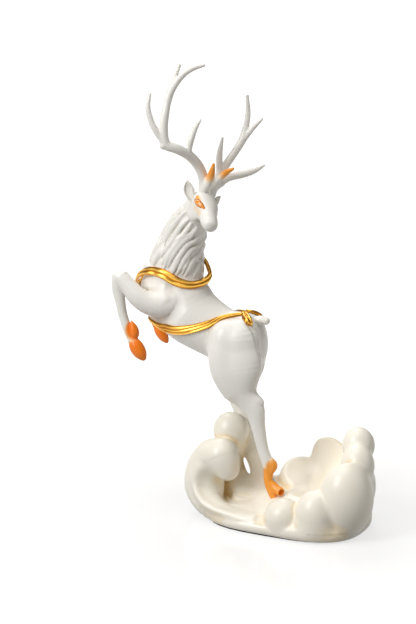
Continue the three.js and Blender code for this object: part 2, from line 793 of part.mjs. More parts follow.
// The smooth wall between the puffs falls away towards the left and the front.
function bowlShell() {
  const shell = ellipsoid(BOWL_SHELL_AT, BOWL_SHELL_RADII, undefined, 18);
  const size = 4 * Math.max(...BOWL_SHELL_RADII);
  const above = new THREE.BoxGeometry(size, size, size);
  above.translate(0, 0, size / 2);
  above.rotateX(radians(RIM_RISE_BACK));
  above.rotateY(radians(-RIM_RISE_RIGHT));
  above.translate(...RIM_AT);
  return shell.subtract(toManifold(above));
}

// The ridge that both hind hooves stand on, from the front rim to the back.
function saddle() {
  const left = vec(HOOF_LEFT);
  const right = vec(HOOF_RIGHT);
  const stations = [[-0.3, 0.75, 0.87], [0, 1, 1], [0.5, 1, 1.13], [1, 1.05, 1.13], [1.35, 1, 0.93]].map(
    ([share, deep, wide]) => {
      const at = left.clone().lerp(right, share);
      const drop = SADDLE_DEPTH * (1 + Math.max(0, Math.abs(share - 0.5) - 0.5));
      return [[at.x, at.y, at.z - drop], SADDLE_DEPTH * deep, (SADDLE_WIDTH / 2) * wide];
    },
  );
  return new Form(stations, upward);
}

function cloudSolid() {
  const walls = union([
    foot.solid({ sides: 22, steps: 1, tip: 0.03 }),
    skirt.solid({ sides: 18, steps: 1, tip: 0.03 }),
    bowlShell(),
    ...hollowedPuffs.map(([at, radii]) => ellipsoid(at, radii, undefined, 12)),
  ]);
  const hollowed = walls
    .subtract(ellipsoid(BOWL_AT, BOWL_RADII, undefined, 20))
    .subtract(ellipsoid(BOWL_END_AT, BOWL_END_RADII, undefined, 16))
    .subtract(ellipsoid(WELL_AT, WELL_RADII, undefined, 16));
  const wrapped = union([leftWall, wellLip, wisp, sleeve].map((form) => form.solid(CLOUD_DETAIL)))
    .subtract(slit.solid({ sides: 8, steps: 1 }));
  return union([
    hollowed,
    wrapped,
    saddle().solid(CLOUD_DETAIL),
    scroll.solid(CLOUD_DETAIL),
    scrollHead.solid(CLOUD_DETAIL),
    ...wholePuffs.map(([at, radii]) => ellipsoid(at, radii, undefined, 12)),
    ...ripples.map((row, index) => ripple(row, index).solid({ sides: 5, steps: 1 })),
  ]).simplify(SMALLEST_STEP_OF_CLOUD);
}

// Everything below the flat underside of the base.
function belowGround() {
  const size = 2 * (FOOT_LENGTH + SKIRT_LENGTH);
  const slab = new THREE.BoxGeometry(size, size, size);
  slab.translate(0, 0, BASE_UNDERSIDE - size / 2);
  return toManifold(slab);
}

// Rods run down the middle of the hind legs, then straight down through the base.
const ROD_SHARES_OF_LEG = [0.28, 0.4, 0.52, 0.64, 0.76, 0.86];
const ROD_STRAIGHT_ABOVE_SADDLE = 2;
const ROD_STRAIGHT_BELOW_SADDLE = 8;

function rodPath(side) {
  const { spine } = hindLegs[side];
  const points = ROD_SHARES_OF_LEG.map((t) => spine.getPoint(t));
  const [x, y, z] = side === 'left' ? HOOF_LEFT : HOOF_RIGHT;
  points.push(new THREE.Vector3(x, y, z + ROD_STRAIGHT_ABOVE_SADDLE));
  points.push(new THREE.Vector3(x, y, z - ROD_STRAIGHT_BELOW_SADDLE));
  points.push(new THREE.Vector3(x, y, rodEnd));
  return points;
}

const pocketTop = BASE_UNDERSIDE + POCKET_DEPTH;
const washerTop = pocketTop - GLUE_GAP;
const nutTop = washerTop - WASHER_THICKNESS - GLUE_GAP;
const rodEnd = nutTop - NUT_HEIGHT - ROD_OVERRUN;

function legRod(side, grow) {
  const path = rodPath(side);
  if (grow > 0) {
    path.at(-1).z = BASE_UNDERSIDE;
    path[0].addScaledVector(path[0].clone().sub(path[1]).normalize(), grow);
  }
  const curve = new THREE.CatmullRomCurve3(path, false, 'centripetal');
  const section = new THREE.Shape();
  section.absarc(0, 0, ROD_DIAMETER / 2 + grow, 0, Math.PI * 2);
  const geometry = new THREE.ExtrudeGeometry(section, {
    steps: 15, extrudePath: curve, bevelEnabled: false, curveSegments: 4,
  });
  return toManifold(geometry);
}

function disc(side, outerDiameter, segments, bottom, height) {
  const [x, y] = side === 'left' ? HOOF_LEFT : HOOF_RIGHT;
  const solid = rod(new THREE.Vector3(x, y, bottom), new THREE.Vector3(x, y, bottom + height),
    outerDiameter / 2, segments);
  const hole = rod(new THREE.Vector3(x, y, bottom - 1), new THREE.Vector3(x, y, bottom + height + 1),
    ROD_DIAMETER / 2 + BORE_FIT, 12);
  return solid.subtract(hole);
}

function pocket(side) {
  const [x, y] = side === 'left' ? HOOF_LEFT : HOOF_RIGHT;
  return rod(new THREE.Vector3(x, y, BASE_UNDERSIDE - 1), new THREE.Vector3(x, y, pocketTop),
    POCKET_DIAMETER / 2, 20);
}

// Assembly

const glossyWhite = { color: '#f1efe9', roughness: 0.22, metalness: 0 };
const glossyIvory = { color: '#ece2cd', roughness: 0.24, metalness: 0 };
const gold = { color: '#d9a441', roughness: 0.25, metalness: 1 };
const orange = { color: '#f57c00', roughness: 0.15, metalness: 0 };
const steel = { color: '#a9adb0', roughness: 0.35, metalness: 1 };
const padBlack = { color: '#2b2a29', roughness: 0.9, metalness: 0 };

const statue = new THREE.Group();

function add(name, solid, finish, parent = statue) {
  const mesh = new THREE.Mesh(toGeometry(tidy(solid)), new THREE.MeshStandardMaterial(finish));
  mesh.name = name;
  parent.add(mesh);
}

const SIDES = ['left', 'right'];
const grownBody = bodySolid(GLUE_GAP);
const grownSkull = skull.solid({ grow: GLUE_GAP, ...SKULL_DETAIL });

{
  let cloud = cloudSolid().subtract(belowGround()).subtract(grownBody);
  for (const side of SIDES) {
    cloud = cloud.subtract(legRod(side, BORE_FIT)).subtract(pocket(side));
  }
  add('cloud_base', cloud, glossyIvory);
}

{
  const edge = Array.from({ length: 30 }, (_, k) => {
    const at = foot.point(0, (360 * k) / 30, -PAD_INSET);
    return new THREE.Vector2(at.x, at.y);
  });
  const sheet = new THREE.ExtrudeGeometry(new THREE.Shape(edge), { depth: PAD_THICKNESS, bevelEnabled: false });
  add('base_pad', toManifold(sheet), padBlack);
}

{
  const freeMane = union(mane(0)).subtract(grownSkull);
  let body = union([bodySolid(0), freeMane]);
  for (const side of SIDES) {
    body = body.subtract(legRod(side, BORE_FIT))
      .subtract(forelegPeg(side, GLUE_GAP))
      .subtract(antlerPin(side, FREE_FIT));
  }
  add('deer_body', body, glossyWhite);
}

{
  let head = union([
    skull.solid(SKULL_DETAIL),
    earSolid(ears.right),
    earSolid(ears.left),
    browSolid(1),
    browSolid(-1),
  ]).subtract(neck.solid({ grow: GLUE_GAP, ...NECK_DETAIL }));
  for (const side of SIDES) {
    head = head
      .subtract(eyeSolid(side === 'right' ? 1 : -1, GLUE_GAP))
      .subtract(antlerPin(side, FREE_FIT));
  }
  add('deer_head', head, glossyWhite);
}

for (const side of SIDES) {
  add(`eye_${side}`, eyeSolid(side === 'right' ? 1 : -1, 0), orange);
}

for (const side of SIDES) {
  const leg = union([forelegs[side].solid(LEG_DETAIL).subtract(grownBody), forelegPeg(side, 0)]);
  add(`foreleg_${side}`, leg, glossyWhite);
}

add('tail', tail.solid(TAIL_DETAIL).subtract(grownBody), glossyWhite);

for (const side of SIDES) {
  add(`leg_rod_${side}`, legRod(side, 0), steel);
  add(`washer_${side}`, disc(side, WASHER_DIAMETER, 16, washerTop - WASHER_THICKNESS, WASHER_THICKNESS), steel);
  add(`nut_${side}`, disc(side, NUT_ACROSS_CORNERS, 6, nutTop - NUT_HEIGHT, NUT_HEIGHT), steel);
}

{
  const onSkin = union([
    grownBody,
    forelegs.left.solid({ grow: GLUE_GAP, ...LEG_DETAIL }),
    forelegs.right.solid({ grow: GLUE_GAP, ...LEG_DETAIL }),
    ...mane(GLUE_GAP),
  ]);
  add('neck_ribbon', neckRibbon().solid(RIBBON_DETAIL).subtract(onSkin), gold);
  const runs = SIDES.map((side) => trunkRibbon(side).solid(RIBBON_DETAIL));
  const tailSeat = tail.solid({ grow: GLUE_GAP, ...TAIL_DETAIL });
  const ends = SIDES.map((side) => curledEnd(side));
  const wound = union([...runs, ...ends]).subtract(onSkin).subtract(tailSeat);
  add('body_ribbon', wound, gold);
}

for (const side of SIDES) {
  const holder = new THREE.Group();
  holder.name = `plug_in_${side}`;
  statue.add(holder);
  add(`antler_${side}`, antlerSolid(side).subtract(grownSkull).subtract(antlerPin(side, 0)), glossyWhite, holder);
  add(`antler_pin_${side}`, antlerPin(side, -0.05), steel, holder);
}

export default statue;
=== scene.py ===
import math

import bpy
import numpy as np
import openvdb
from mathutils import Matrix


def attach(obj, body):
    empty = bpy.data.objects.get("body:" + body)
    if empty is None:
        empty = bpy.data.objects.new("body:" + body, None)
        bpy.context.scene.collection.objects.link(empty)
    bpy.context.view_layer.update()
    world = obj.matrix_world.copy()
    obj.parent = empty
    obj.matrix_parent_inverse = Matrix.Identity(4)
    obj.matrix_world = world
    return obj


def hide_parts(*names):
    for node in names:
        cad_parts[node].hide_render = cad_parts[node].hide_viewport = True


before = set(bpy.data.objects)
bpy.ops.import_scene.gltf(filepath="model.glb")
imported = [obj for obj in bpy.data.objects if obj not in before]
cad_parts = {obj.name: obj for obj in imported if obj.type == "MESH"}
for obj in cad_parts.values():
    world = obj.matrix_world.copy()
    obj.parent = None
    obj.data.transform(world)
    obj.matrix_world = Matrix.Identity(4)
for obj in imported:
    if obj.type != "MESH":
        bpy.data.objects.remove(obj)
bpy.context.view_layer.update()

MM = 0.001
COARSER = 1.0
AT_ONCE = 200000                        # points whose depth is worked out together


# Wax: smooth forms that are joined and cut, all in millimetres

def unit(rows):
    """Each row divided by its own length."""
    return rows / np.linalg.norm(rows, axis=-1, keepdims=True).clip(1e-9)


def through(points, per_span):
    """A centripetal Catmull-Rom curve through the points. The first three columns set its knots."""
    p = np.asarray(points, float)
    q = np.vstack([2 * p[0] - p[1], p, 2 * p[-1] - p[-2]])
    gaps = np.sqrt(np.linalg.norm(np.diff(q[:, :3], axis=0), axis=1)).clip(0.05)
    knots = np.concatenate([[0], np.cumsum(gaps)])
    rows = []
    for i in range(len(p) - 1):
        a, b, c, d = q[i:i + 4]
        ka, kb, kc, kd = knots[i:i + 4]
        t = np.linspace(kb, kc, per_span, endpoint=False)[:, None]
        ab = ((kb - t) * a + (t - ka) * b) / (kb - ka)
        bc = ((kc - t) * b + (t - kb) * c) / (kc - kb)
        cd = ((kd - t) * c + (t - kc) * d) / (kd - kc)
        abc = ((kc - t) * ab + (t - ka) * bc) / (kc - ka)
        bcd = ((kd - t) * bc + (t - kb) * cd) / (kd - kb)
        rows.append(((kc - t) * abc + (t - kb) * bcd) / (kc - kb))
    rows.append(p[-1:])
    return np.vstack(rows)


class Limb:
    """Elliptical sections along a curve: rows of x, y, z, half width and half depth.

    A point's distance is taken from the nearest stretch of the curve: its offset is scaled by the
    section there to q, and the distance is the offset's length times 1 - 1/q. An end closes in a dome,
    flattened to the tip's share of its height by stretching the room beyond it. The half width lies
    along the side, and a row with one half size has a round section.
    """
    PER_SPAN = 4

    def __init__(self, stations, side=(0, 1, 0), tip=1.0):
        rows = through([[*s[:3], *(s[3:] if len(s) > 4 else (s[3], s[3]))] for s in stations], self.PER_SPAN)
        self.at = rows[:, :3]
        self.size = rows[:, 3:5].clip(0.15)
        self.stretch = 1 / tip - 1
        along = unit(np.gradient(self.at, axis=0))
        sides = np.broadcast_to(np.asarray(side, float), self.at.shape)
        self.across = unit(sides - (sides * along).sum(1, keepdims=True) * along)
        self.deep = np.cross(along, self.across)
        reach = self.size.max(1)[:, None]
        self.ends = ((self.at[0], -along[0]), (self.at[-1], along[-1]))
        self.low = (self.at - reach).min(0)
        self.high = (self.at + reach).max(0)

    def distance(self, p):
        if self.stretch:
            for end, out in self.ends:
                p = p + self.stretch * ((p - end) @ out).clip(0)[:, None] * out
        best = np.full(len(p), np.inf, np.float32)
        for j in range(len(self.at) - 1):
            run = self.at[j + 1] - self.at[j]
            length = np.linalg.norm(run)
            if length < 1e-6:
                continue
            run = run / length
            off = p - self.at[j]
            h = (off @ run).clip(0, length)
            off = off - h[:, None] * run
            share = (h / length)[:, None]
            wide, deep = (self.size[j] * (1 - share) + self.size[j + 1] * share).T
            axes = unit(np.stack([self.across[j] + self.across[j + 1], self.deep[j] + self.deep[j + 1]]))
            x = off @ axes[0] / wide
            y = off @ axes[1] / deep
            z = off @ run / np.minimum(wide, deep)
            q = np.sqrt(x * x + y * y + z * z).clip(1e-3)
            core = (q < 0.02) * np.minimum(wide, deep)
            best = np.minimum(best, np.linalg.norm(off, axis=1) * (1 - 1 / q) - core)
        return best


class Ball:
    """An ellipsoid: the offset from its centre is scaled by its radii to q, as on a limb."""

    def __init__(self, at, radii, axes=np.eye(3)):
        self.at = np.asarray(at, float)
        self.radii = np.broadcast_to(np.asarray(radii, float), 3)
        self.axes = np.asarray(axes, float)
        reach = np.sqrt(((self.axes * self.radii[:, None]) ** 2).sum(0))
        self.low = self.at - reach
        self.high = self.at + reach

    def distance(self, p):
        off = p - self.at
        q = np.linalg.norm(off @ self.axes.T / self.radii, axis=1).clip(1e-3)
        return np.linalg.norm(off, axis=1) * (1 - 1 / q) - (q < 0.02) * self.radii.min()


class Pebble:
    """A low dome on a flat bottom, with a superellipse outline that swells a little above the ground.

    A point's share x, y of the half sizes gives q = (|x|^n + |y|^n)^(1/n), its share z of the height gives
    (q^n + z^n)^(1/n), and the distance is that less 1, times the height.
    """

    def __init__(self, at, half, height, power, flare):
        self.at = np.asarray(at, float)
        self.half, self.height, self.power, self.flare = half, height, power, flare
        self.low = np.array([at[0] - half[0] - flare, at[1] - half[1] - flare, at[2]])
        self.high = np.array([at[0] + half[0] + flare, at[1] + half[1] + flare, at[2] + height])

    def distance(self, p):
        off = p - self.at
        rise = (off[:, 2] / self.height).clip(0, 1.5)
        swell = self.flare * np.sin(np.pi * rise.clip(0, 1) ** 0.7)
        x = np.abs(off[:, 0]) / (self.half[0] + swell)
        y = np.abs(off[:, 1]) / (self.half[1] + swell)
        q = (x ** self.power + y ** self.power + rise ** self.power) ** (1 / self.power)
        return np.maximum((q - 1) * np.where(rise > 0.5, self.height, 30), -off[:, 2])


class Half:
    """Everything on one side of a plane."""

    def __init__(self, at, normal):
        self.at, self.normal = np.asarray(at, float), unit(np.asarray(normal, float))
        self.low, self.high = np.full(3, -1e4), np.full(3, 1e4)

    def distance(self, p):
        return (p - self.at) @ self.normal


class Wax:
    """Forms joined or cut one after another, each with the softness of its seam in millimetres.

    The seam is a smooth least: where two distances a and b differ by less than the softness k,
    the lesser is lowered by (k - |a - b|) squared over 4 k. A cut does the same with signs turned.
    """
    FAR = 30.0

    def __init__(self):
        self.steps = []

    def add(self, form, soft=1.0):
        self.steps.append((1, form, soft))
        return self

    def cut(self, form, soft=1.0):
        self.steps.append((-1, form, soft))
        return self

    def depth(self, p):
        """How far each point lies outside the skin, below zero inside, and true only near the skin."""
        value = np.full(len(p), self.FAR, np.float32)
        for sign, form, soft in self.steps:
            margin = soft + 3
            near = ((p > form.low - margin) & (p < form.high + margin)).all(1)
            if not near.any():
                continue
            a = sign * value[near]
            b = form.distance(p[near])
            blend = (soft - np.abs(a - b)).clip(0) ** 2 / (4 * max(soft, 1e-3))
            value[near] = sign * (np.minimum(a, b) - blend)
        return value

    def slope(self, p, reach):
        """The depth at each point and its direction of rise, from four points round it."""
        corners = np.array([[1, 1, 1], [1, -1, -1], [-1, 1, -1], [-1, -1, 1]], float)
        values = [self.depth(p + reach * c) for c in corners]
        rise = sum(v[:, None] * c for v, c in zip(values, corners)) / (4 * reach)
        return sum(values) / 4, rise

    def laid(self, points, lift=0.0):
        """Rough points moved onto the skin along its slope, then off it by a lift."""
        p = np.asarray(points, float)
        for _ in range(8):
            depth, rise = self.slope(p, 0.3)
            p = p - (depth / (rise ** 2).sum(1).clip(0.2)).clip(-5, 5)[:, None] * rise
        return p + lift * unit(self.slope(p, 0.3)[1])

    def hollow(self, points, normals, reach):
        """How much of the room out to a reach is taken by neighbouring skin: 0 in the open, 1 in a fold."""
        room = self.depth(points + reach * normals) / reach
        near = self.depth(points + 0.35 * reach * normals) / (0.35 * reach)
        return (1 - 0.5 * (room + near)).clip(0, 1)

    def room(self):
        """The lowest and highest corners of the forms that were added."""
        solid = [form for sign, form, _ in self.steps if sign > 0]
        return np.min([f.low for f in solid], 0), np.max([f.high for f in solid], 0)

    def cast(self, step):
        """The skin where the depth is zero, as points, quads and normals.

        The depth is taken in the middle of blocks of a few grid steps, and at each grid point of the
        blocks near the skin. Then each point slides along the slope until its depth is zero.
        """
        step = step * COARSER
        side = 4
        low, high = self.room()
        low, high = low - side * step, high + side * step
        blocks = np.ceil((high - low) / (side * step)).astype(int)
        middle = np.stack(np.meshgrid(*[(np.arange(n) * side + (side - 1) / 2) * step for n in blocks],
                                      indexing="ij"), -1).reshape(-1, 3) + low
        parts = np.array_split(middle, max(1, len(middle) // AT_ONCE))
        rough = np.concatenate([self.depth(part) for part in parts])
        near = np.abs(rough) < 1.6 * side * step
        inner = np.stack(np.meshgrid(*[np.arange(side)] * 3, indexing="ij"), -1).reshape(-1, 3)
        start = np.stack(np.unravel_index(np.nonzero(near)[0], blocks), -1) * side
        index = (start[:, None, :] + inner).reshape(-1, 3)
        value = rough.reshape(blocks).repeat(side, 0).repeat(side, 1).repeat(side, 2)
        parts = np.array_split(index, max(1, len(index) // AT_ONCE))
        value[tuple(index.T)] = np.concatenate([self.depth(part * step + low) for part in parts])
        grid = openvdb.FloatGrid(self.FAR)
        grid.copyFromArray(np.ascontiguousarray(value, np.float32))
        points, _, quads = grid.convertToPolygons(0.0, 0.0)
        points = points.astype(float) * step + low
        for _ in range(3):
            depth, rise = self.slope(points, 0.25 * step)
            points -= (depth / (rise ** 2).sum(1).clip(0.2)).clip(-step, step)[:, None] * rise
        quads = quads.astype(np.int32)
        a, b, c, d = (points[quads[:, i]] for i in range(4))
        if (np.cross(c - a, d - b) * (a + c)).sum() < 0:
            quads = quads[:, ::-1]
        return points, quads, unit(self.slope(points, 0.35 * step)[1])


class Joined:
    """A form that is itself made of wax."""

    def __init__(self, wax):
        self.wax = wax
        self.low, self.high = wax.room()

    def distance(self, p):
        return self.wax.depth(p)


# Meshes

def put(name, points, faces, normals=None, **attributes):
    """A mesh object from arrays in millimetres, with float attributes on its points."""
    mesh = bpy.data.meshes.new(name)
    corners = faces.shape[1]
    mesh.vertices.add(len(points))
    mesh.vertices.foreach_set("co", (points * MM).astype(np.float32).ravel())
    mesh.loops.add(faces.size)
    mesh.loops.foreach_set("vertex_index", faces.astype(np.int32).ravel())
    mesh.polygons.add(len(faces))
    mesh.polygons.foreach_set("loop_start", np.arange(0, faces.size, corners, dtype=np.int32))
    mesh.polygons.foreach_set("use_smooth", np.ones(len(faces), bool))
    mesh.update(calc_edges=True)
    mesh.validate()
    if normals is not None:
        mesh.normals_split_custom_set_from_vertices(normals.astype(np.float32))
    for key, values in attributes.items():
        layer = mesh.attributes.new(key, "FLOAT", "POINT")
        layer.data.foreach_set("value", values.astype(np.float32))
    piece = bpy.data.objects.new(name, mesh)
    bpy.context.scene.collection.objects.link(piece)
    return piece


def dress(piece, finish, body, solid):
    """Gives a piece its finish and the body that it rides on, and hides the solid it stands for."""
    piece.data.materials.append(finish)
    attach(piece, body)
    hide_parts(solid)


# Finishes

def linear(colour):
    """An sRGB hex colour as linear red, green, blue and 1."""
    parts = [int(colour[i:i + 2], 16) / 255 for i in (1, 3, 5)]
    return [c / 12.92 if c <= 0.04045 else ((c + 0.055) / 1.055) ** 2.4 for c in parts] + [1.0]


def node(tree, kind, settings=None, **inputs):
    """Adds a node, sets its properties, and fills or links its sockets, by name or as _0, _1."""
    made = tree.nodes.new(kind)
    for key, value in (settings or {}).items():
        setattr(made, key, value)
    for key, value in inputs.items():
        socket = made.inputs[int(key[1:]) if key[0] == "_" else key.replace("_", " ")]
        if isinstance(value, bpy.types.NodeSocket):
            tree.links.new(value, socket)
        else:
            socket.default_value = value
    return made


def material(name):
    """An empty node material with its output."""
    made = bpy.data.materials.new(name)
    made.use_nodes = True
    made.node_tree.nodes.clear()
    return made, made.node_tree, made.node_tree.nodes.new("ShaderNodeOutputMaterial")


def mix(tree, share, a, b):
    """A colour between two, by a share."""
    made = node(tree, "ShaderNodeMix", {"data_type": "RGBA"}, _0=share, _6=a, _7=b)
    return made.outputs[2]


# Cast resin, airbrushed in places and sprayed with clear lacquer: an even colour with painted shade laid
# in its hollows, where the orange is painted deeper too, a soft gloss that drifts a little over 45 mm,
# and the faint orange peel that a sprayed coat keeps, about 4 mm from crest to crest. Airbrushed orange
# is pale and thin at its edge.
def lacquer(name, colour, shade, fold, sprayed="#F7982A", deep="#DE780F", thin="#FFC98A"):
    made, tree, out = material(name)
    place = node(tree, "ShaderNodeTexCoord").outputs["Object"]
    cloudy = node(tree, "ShaderNodeTexNoise", Vector=place, Scale=22.0, Detail=2.0).outputs["Fac"]
    open_coat = mix(tree, cloudy, linear(colour), linear(shade))
    # The hollow attribute sets how much painted shade each point takes.
    sunk = node(tree, "ShaderNodeAttribute", {"attribute_name": "hollow"}).outputs["Fac"]
    shade_share = node(tree, "ShaderNodeMapRange", Value=sunk, From_Min=0.12, From_Max=0.75).outputs["Result"]
    base = mix(tree, shade_share, open_coat, linear(fold))
    spray = node(tree, "ShaderNodeAttribute", {"attribute_name": "airbrush"}).outputs["Fac"]
    # Where the painted shade lies, the orange turns to the deeper one.
    orange = mix(tree, shade_share, linear(sprayed), linear(deep))
    edge = node(tree, "ShaderNodeMapRange", Value=spray, From_Max=0.5).outputs["Result"]
    solid = node(tree, "ShaderNodeMapRange", Value=spray, From_Min=0.35).outputs["Result"]
    painted = mix(tree, solid, mix(tree, edge, base, linear(thin)), orange)
    peel = node(tree, "ShaderNodeTexNoise", Vector=place, Scale=250.0, Detail=1.0).outputs["Fac"]
    bump = node(tree, "ShaderNodeBump", Strength=0.05, Distance=0.0002, Height=peel).outputs["Normal"]
    rough = node(tree, "ShaderNodeMapRange", Value=cloudy, To_Min=0.3, To_Max=0.4).outputs["Result"]
    skin = node(tree, "ShaderNodeBsdfPrincipled", Base_Color=painted, Roughness=rough, IOR=1.5, Normal=bump)
    tree.links.new(skin.outputs[0], out.inputs[0])
    return made


# Gilding brushed over a cast band: warm gold with a painted shade, browner, in its grooves, and a sheen
# that changes every 20 mm or so where the brush went.
def gilding():
    made, tree, out = material("gilding")
    place = node(tree, "ShaderNodeTexCoord").outputs["Object"]
    # The share of painted shade, from the ribbon's grooves.
    fold = node(tree, "ShaderNodeAttribute", {"attribute_name": "fold"}).outputs["Fac"]
    colour = mix(tree, fold, linear("#FFCB60"), linear("#B87420"))
    brushed = node(tree, "ShaderNodeTexNoise", Vector=place, Scale=50.0, Detail=1.0).outputs["Fac"]
    rough = node(tree, "ShaderNodeMapRange", Value=brushed, To_Min=0.26, To_Max=0.34).outputs["Result"]
    skin = node(tree, "ShaderNodeBsdfPrincipled", Base_Color=colour, Metallic=1.0, Roughness=rough)
    tree.links.new(skin.outputs[0], out.inputs[0])
    return made


# Orange resin under a clear coat, domed when cast: a wet eye with small sharp lights.
def eye_resin():
    made, tree, out = material("eye_resin")
    rim = node(tree, "ShaderNodeAttribute", {"attribute_name": "rim"}).outputs["Fac"]
    colour = mix(tree, rim, linear("#FF9A1E"), linear("#D86A00"))
    skin = node(tree, "ShaderNodeBsdfPrincipled", Base_Color=colour, Roughness=0.12, IOR=1.5,
                Coat_Weight=1.0, Coat_Roughness=0.02)
    tree.links.new(skin.outputs[0], out.inputs[0])
    return made


# Zinc-plated mild steel: dull silver with a grain of about 1 mm from the plating.
def plated_steel():
    made, tree, out = material("plated_steel")
    place = node(tree, "ShaderNodeTexCoord").outputs["Object"]
    grain = node(tree, "ShaderNodeTexNoise", Vector=place, Scale=900.0, Detail=2.0).outputs["Fac"]
    colour = mix(tree, grain, linear("#C6C9CB"), linear("#8F9396"))
    skin = node(tree, "ShaderNodeBsdfPrincipled", Base_Color=colour, Metallic=1.0, Roughness=0.35)
    tree.links.new(skin.outputs[0], out.inputs[0])
    return made


# Die-cut foam rubber: matt and nearly black, with cells of about 0.7 mm.
def foam_rubber():
    made, tree, out = material("foam_rubber")
    place = node(tree, "ShaderNodeTexCoord").outputs["Object"]
    cells = node(tree, "ShaderNodeTexNoise", Vector=place, Scale=1500.0, Detail=1.0).outputs["Fac"]
    colour = mix(tree, cells, linear("#3A2F28"), linear("#1E1915"))
    bump = node(tree, "ShaderNodeBump", Strength=0.3, Distance=0.0002, Height=cells).outputs["Normal"]
    skin = node(tree, "ShaderNodeBsdfPrincipled", Base_Color=colour, Roughness=0.9, Normal=bump)
    tree.links.new(skin.outputs[0], out.inputs[0])
    return made


# In each lacquer the colour after the two tones is painted shade for its hollows, and the orange after the
# sprayed one is that orange in the painted shade.
WHITE = lacquer("white_lacquer", "#F8F6F1", "#F4F1EA", "#BFB7A6", "#FF8208", "#EE6800")
AMBER = lacquer("white_lacquer_amber", "#F8F6F1", "#F4F1EA", "#BFB7A6",
                "#FBA136", "#EE8A1C", "#FFD39A")
IVORY = lacquer("ivory_lacquer", "#FAF6EB", "#F8F1E1", "#F3DCAE")
GOLD = gilding()
EYE = eye_resin()
STEEL = plated_steel()
RUBBER = foam_rubber()


# Deer: rows of x, y, z and half sizes, all in millimetres

DOME = 0.45         # how high the ends of trunk, neck and legs are domed, as a share of a half sphere
TRUNK = [
    (-151, 0, 208, 10, 11), (-138, 0, 211, 21, 25), (-122, 0, 207, 27, 33), (-105.5, 0, 193, 28, 30),
    (-88.5, 0, 183.5, 25, 27.5), (-71, 0, 176, 22, 26.5), (-56, 0, 171.5, 25, 28), (-43, 0, 170, 24, 28),
    (-34.5, 0, 170.5, 18, 20),
]
NECK = [
    (-122, 0, 218, 22, 29), (-120, 0, 243, 22, 25), (-115, 0, 259, 19.5, 21), (-109, 0, 274.5, 17, 18.5),
    (-102, -1, 288, 14, 15), (-96, -3, 299, 11, 11.5), (-91.5, -4, 306, 8, 8.5),
]
HIND_LEFT = [
    (-57, -13, 186, 12, 19), (-52.5, -15, 176, 15, 26), (-50, -17, 163, 16.5, 26.5),
    (-46.5, -19, 150, 16, 26.5), (-44, -20, 139, 14, 21.5), (-40.5, -20, 129, 11.5, 15.5),
    (-33, -20, 119, 8.6, 11.5), (-26.5, -20, 111, 7.2, 10.2), (-23.8, -19.5, 98.5, 6, 7.6),
    (-21, -19, 84, 5.2, 6.2), (-18, -18.5, 72, 5, 5.6), (-14.5, -18, 62, 5.2, 5.6),
    (-12.8, -18, 53, 4.4, 4.6), (-12, -18.5, 44, 4.4, 4.6),
]
HIND_LEFT_HOOF = [
    ("lobe", [(-9.5, -18.5, 63, 3), (-7, -18.5, 58.5, 3.8), (-8.5, -18.5, 53, 2.6)]),
    ("lobe", [(-13, -18.5, 50, 3.8), (-11.5, -19, 42, 4.6), (-8, -19.5, 34.5, 5), (-6, -19.5, 29, 4.2)]),
    ("lobe", [(-8, -19.5, 40, 4), (-3, -20.5, 36.5, 4.3), (1.6, -22, 35, 4.2)]),
    ("heel", [(1, -22, 35, 2.4), (5.5, -24.5, 34.5, 3)]),
]
HIND_RIGHT = [
    (-56, 13, 184, 11, 18), (-54, 15, 174, 14, 20), (-53.5, 17, 162, 15.5, 20), (-55, 18, 149, 14.5, 20.5),
    (-58, 19, 136, 12.5, 18), (-63, 18.5, 122, 9.5, 13), (-62.5, 18, 110, 7.5, 9.8), (-59, 18, 98, 6.2, 8),
    (-52, 18, 79, 5.2, 6.2), (-45, 18, 61, 5.2, 5.8), (-41, 18, 50, 5, 5.4), (-38.5, 18, 42, 4.6, 5),
]
HIND_RIGHT_HOOF = [
    ("lobe", [(-39, 18, 48, 3), (-36.5, 18, 44, 3.6), (-37, 18, 40, 2.6)]),
    ("lobe", [(-39, 18, 42, 4.4), (-35.5, 18, 34, 5.6), (-31, 18, 29, 5)]),
]
FORE_LEFT = [
    (-107, -13, 213, 9, 13), (-121, -21, 205, 11, 13), (-135.5, -28, 205.5, 9.6, 11.4),
    (-146, -32, 212, 8.4, 9.8), (-155.5, -33, 221.5, 7.2, 8.4), (-164.5, -33, 229, 6.8, 7.6),
    (-166.5, -33, 218.5, 5.6, 6.6), (-164.5, -33, 205, 4.6, 5.1), (-162.3, -33, 194, 4.3, 4.6),
    (-158.5, -33, 183, 4.3, 4.5), (-154.8, -33, 174.5, 4.2, 4.4), (-151.5, -33, 167.5, 4, 4.2),
]
FORE_LEFT_HOOF = [
    ("lobe", [(-152.5, -33, 187, 1), (-150, -33, 181, 3.6), (-148.6, -33, 175.5, 4.2),
              (-149.2, -33, 170.5, 2.2)]),
    ("lobe", [(-151, -33, 168.5, 4.5), (-147, -33, 162, 6.2, 7.2), (-142.8, -33, 156.5, 5.6, 6.2),
              (-139.8, -33, 152.5, 3.2)]),
]
FORE_RIGHT = [
    (-107, 13, 213, 9, 13), (-121, 21, 205, 11, 13), (-137, 28, 204, 10, 12), (-148, 31.5, 211.5, 8.4, 10),
    (-158, 32, 221.5, 7.2, 8.8), (-166, 32, 228.5, 6.8, 8), (-168.5, 32, 217.5, 5.4, 6.2),
    (-168, 32, 205, 4.6, 5.1), (-167, 32, 194, 4.3, 4.6), (-165.5, 32, 184, 4.4, 4.6),
    (-162.5, 32, 175.5, 4.4, 4.8), (-160, 32, 169.5, 4.2, 4.4),
]
FORE_RIGHT_HOOF = [
    ("lobe", [(-162.5, 32, 186, 1), (-159.5, 32, 181, 3.2), (-158, 32, 176, 3.6), (-158, 32, 171, 1.8)]),
    ("lobe", [(-160, 32, 170, 4.2), (-156, 32, 164, 5.4, 6.2), (-152.5, 32, 158.5, 4.6, 5),
              (-149.5, 32, 154.5, 2.4)]),
]
ARM_SLIMMER = (0, 0, 0.2, 1.2, 2.5)     # what the body's skin leaves to the foreleg, row by row
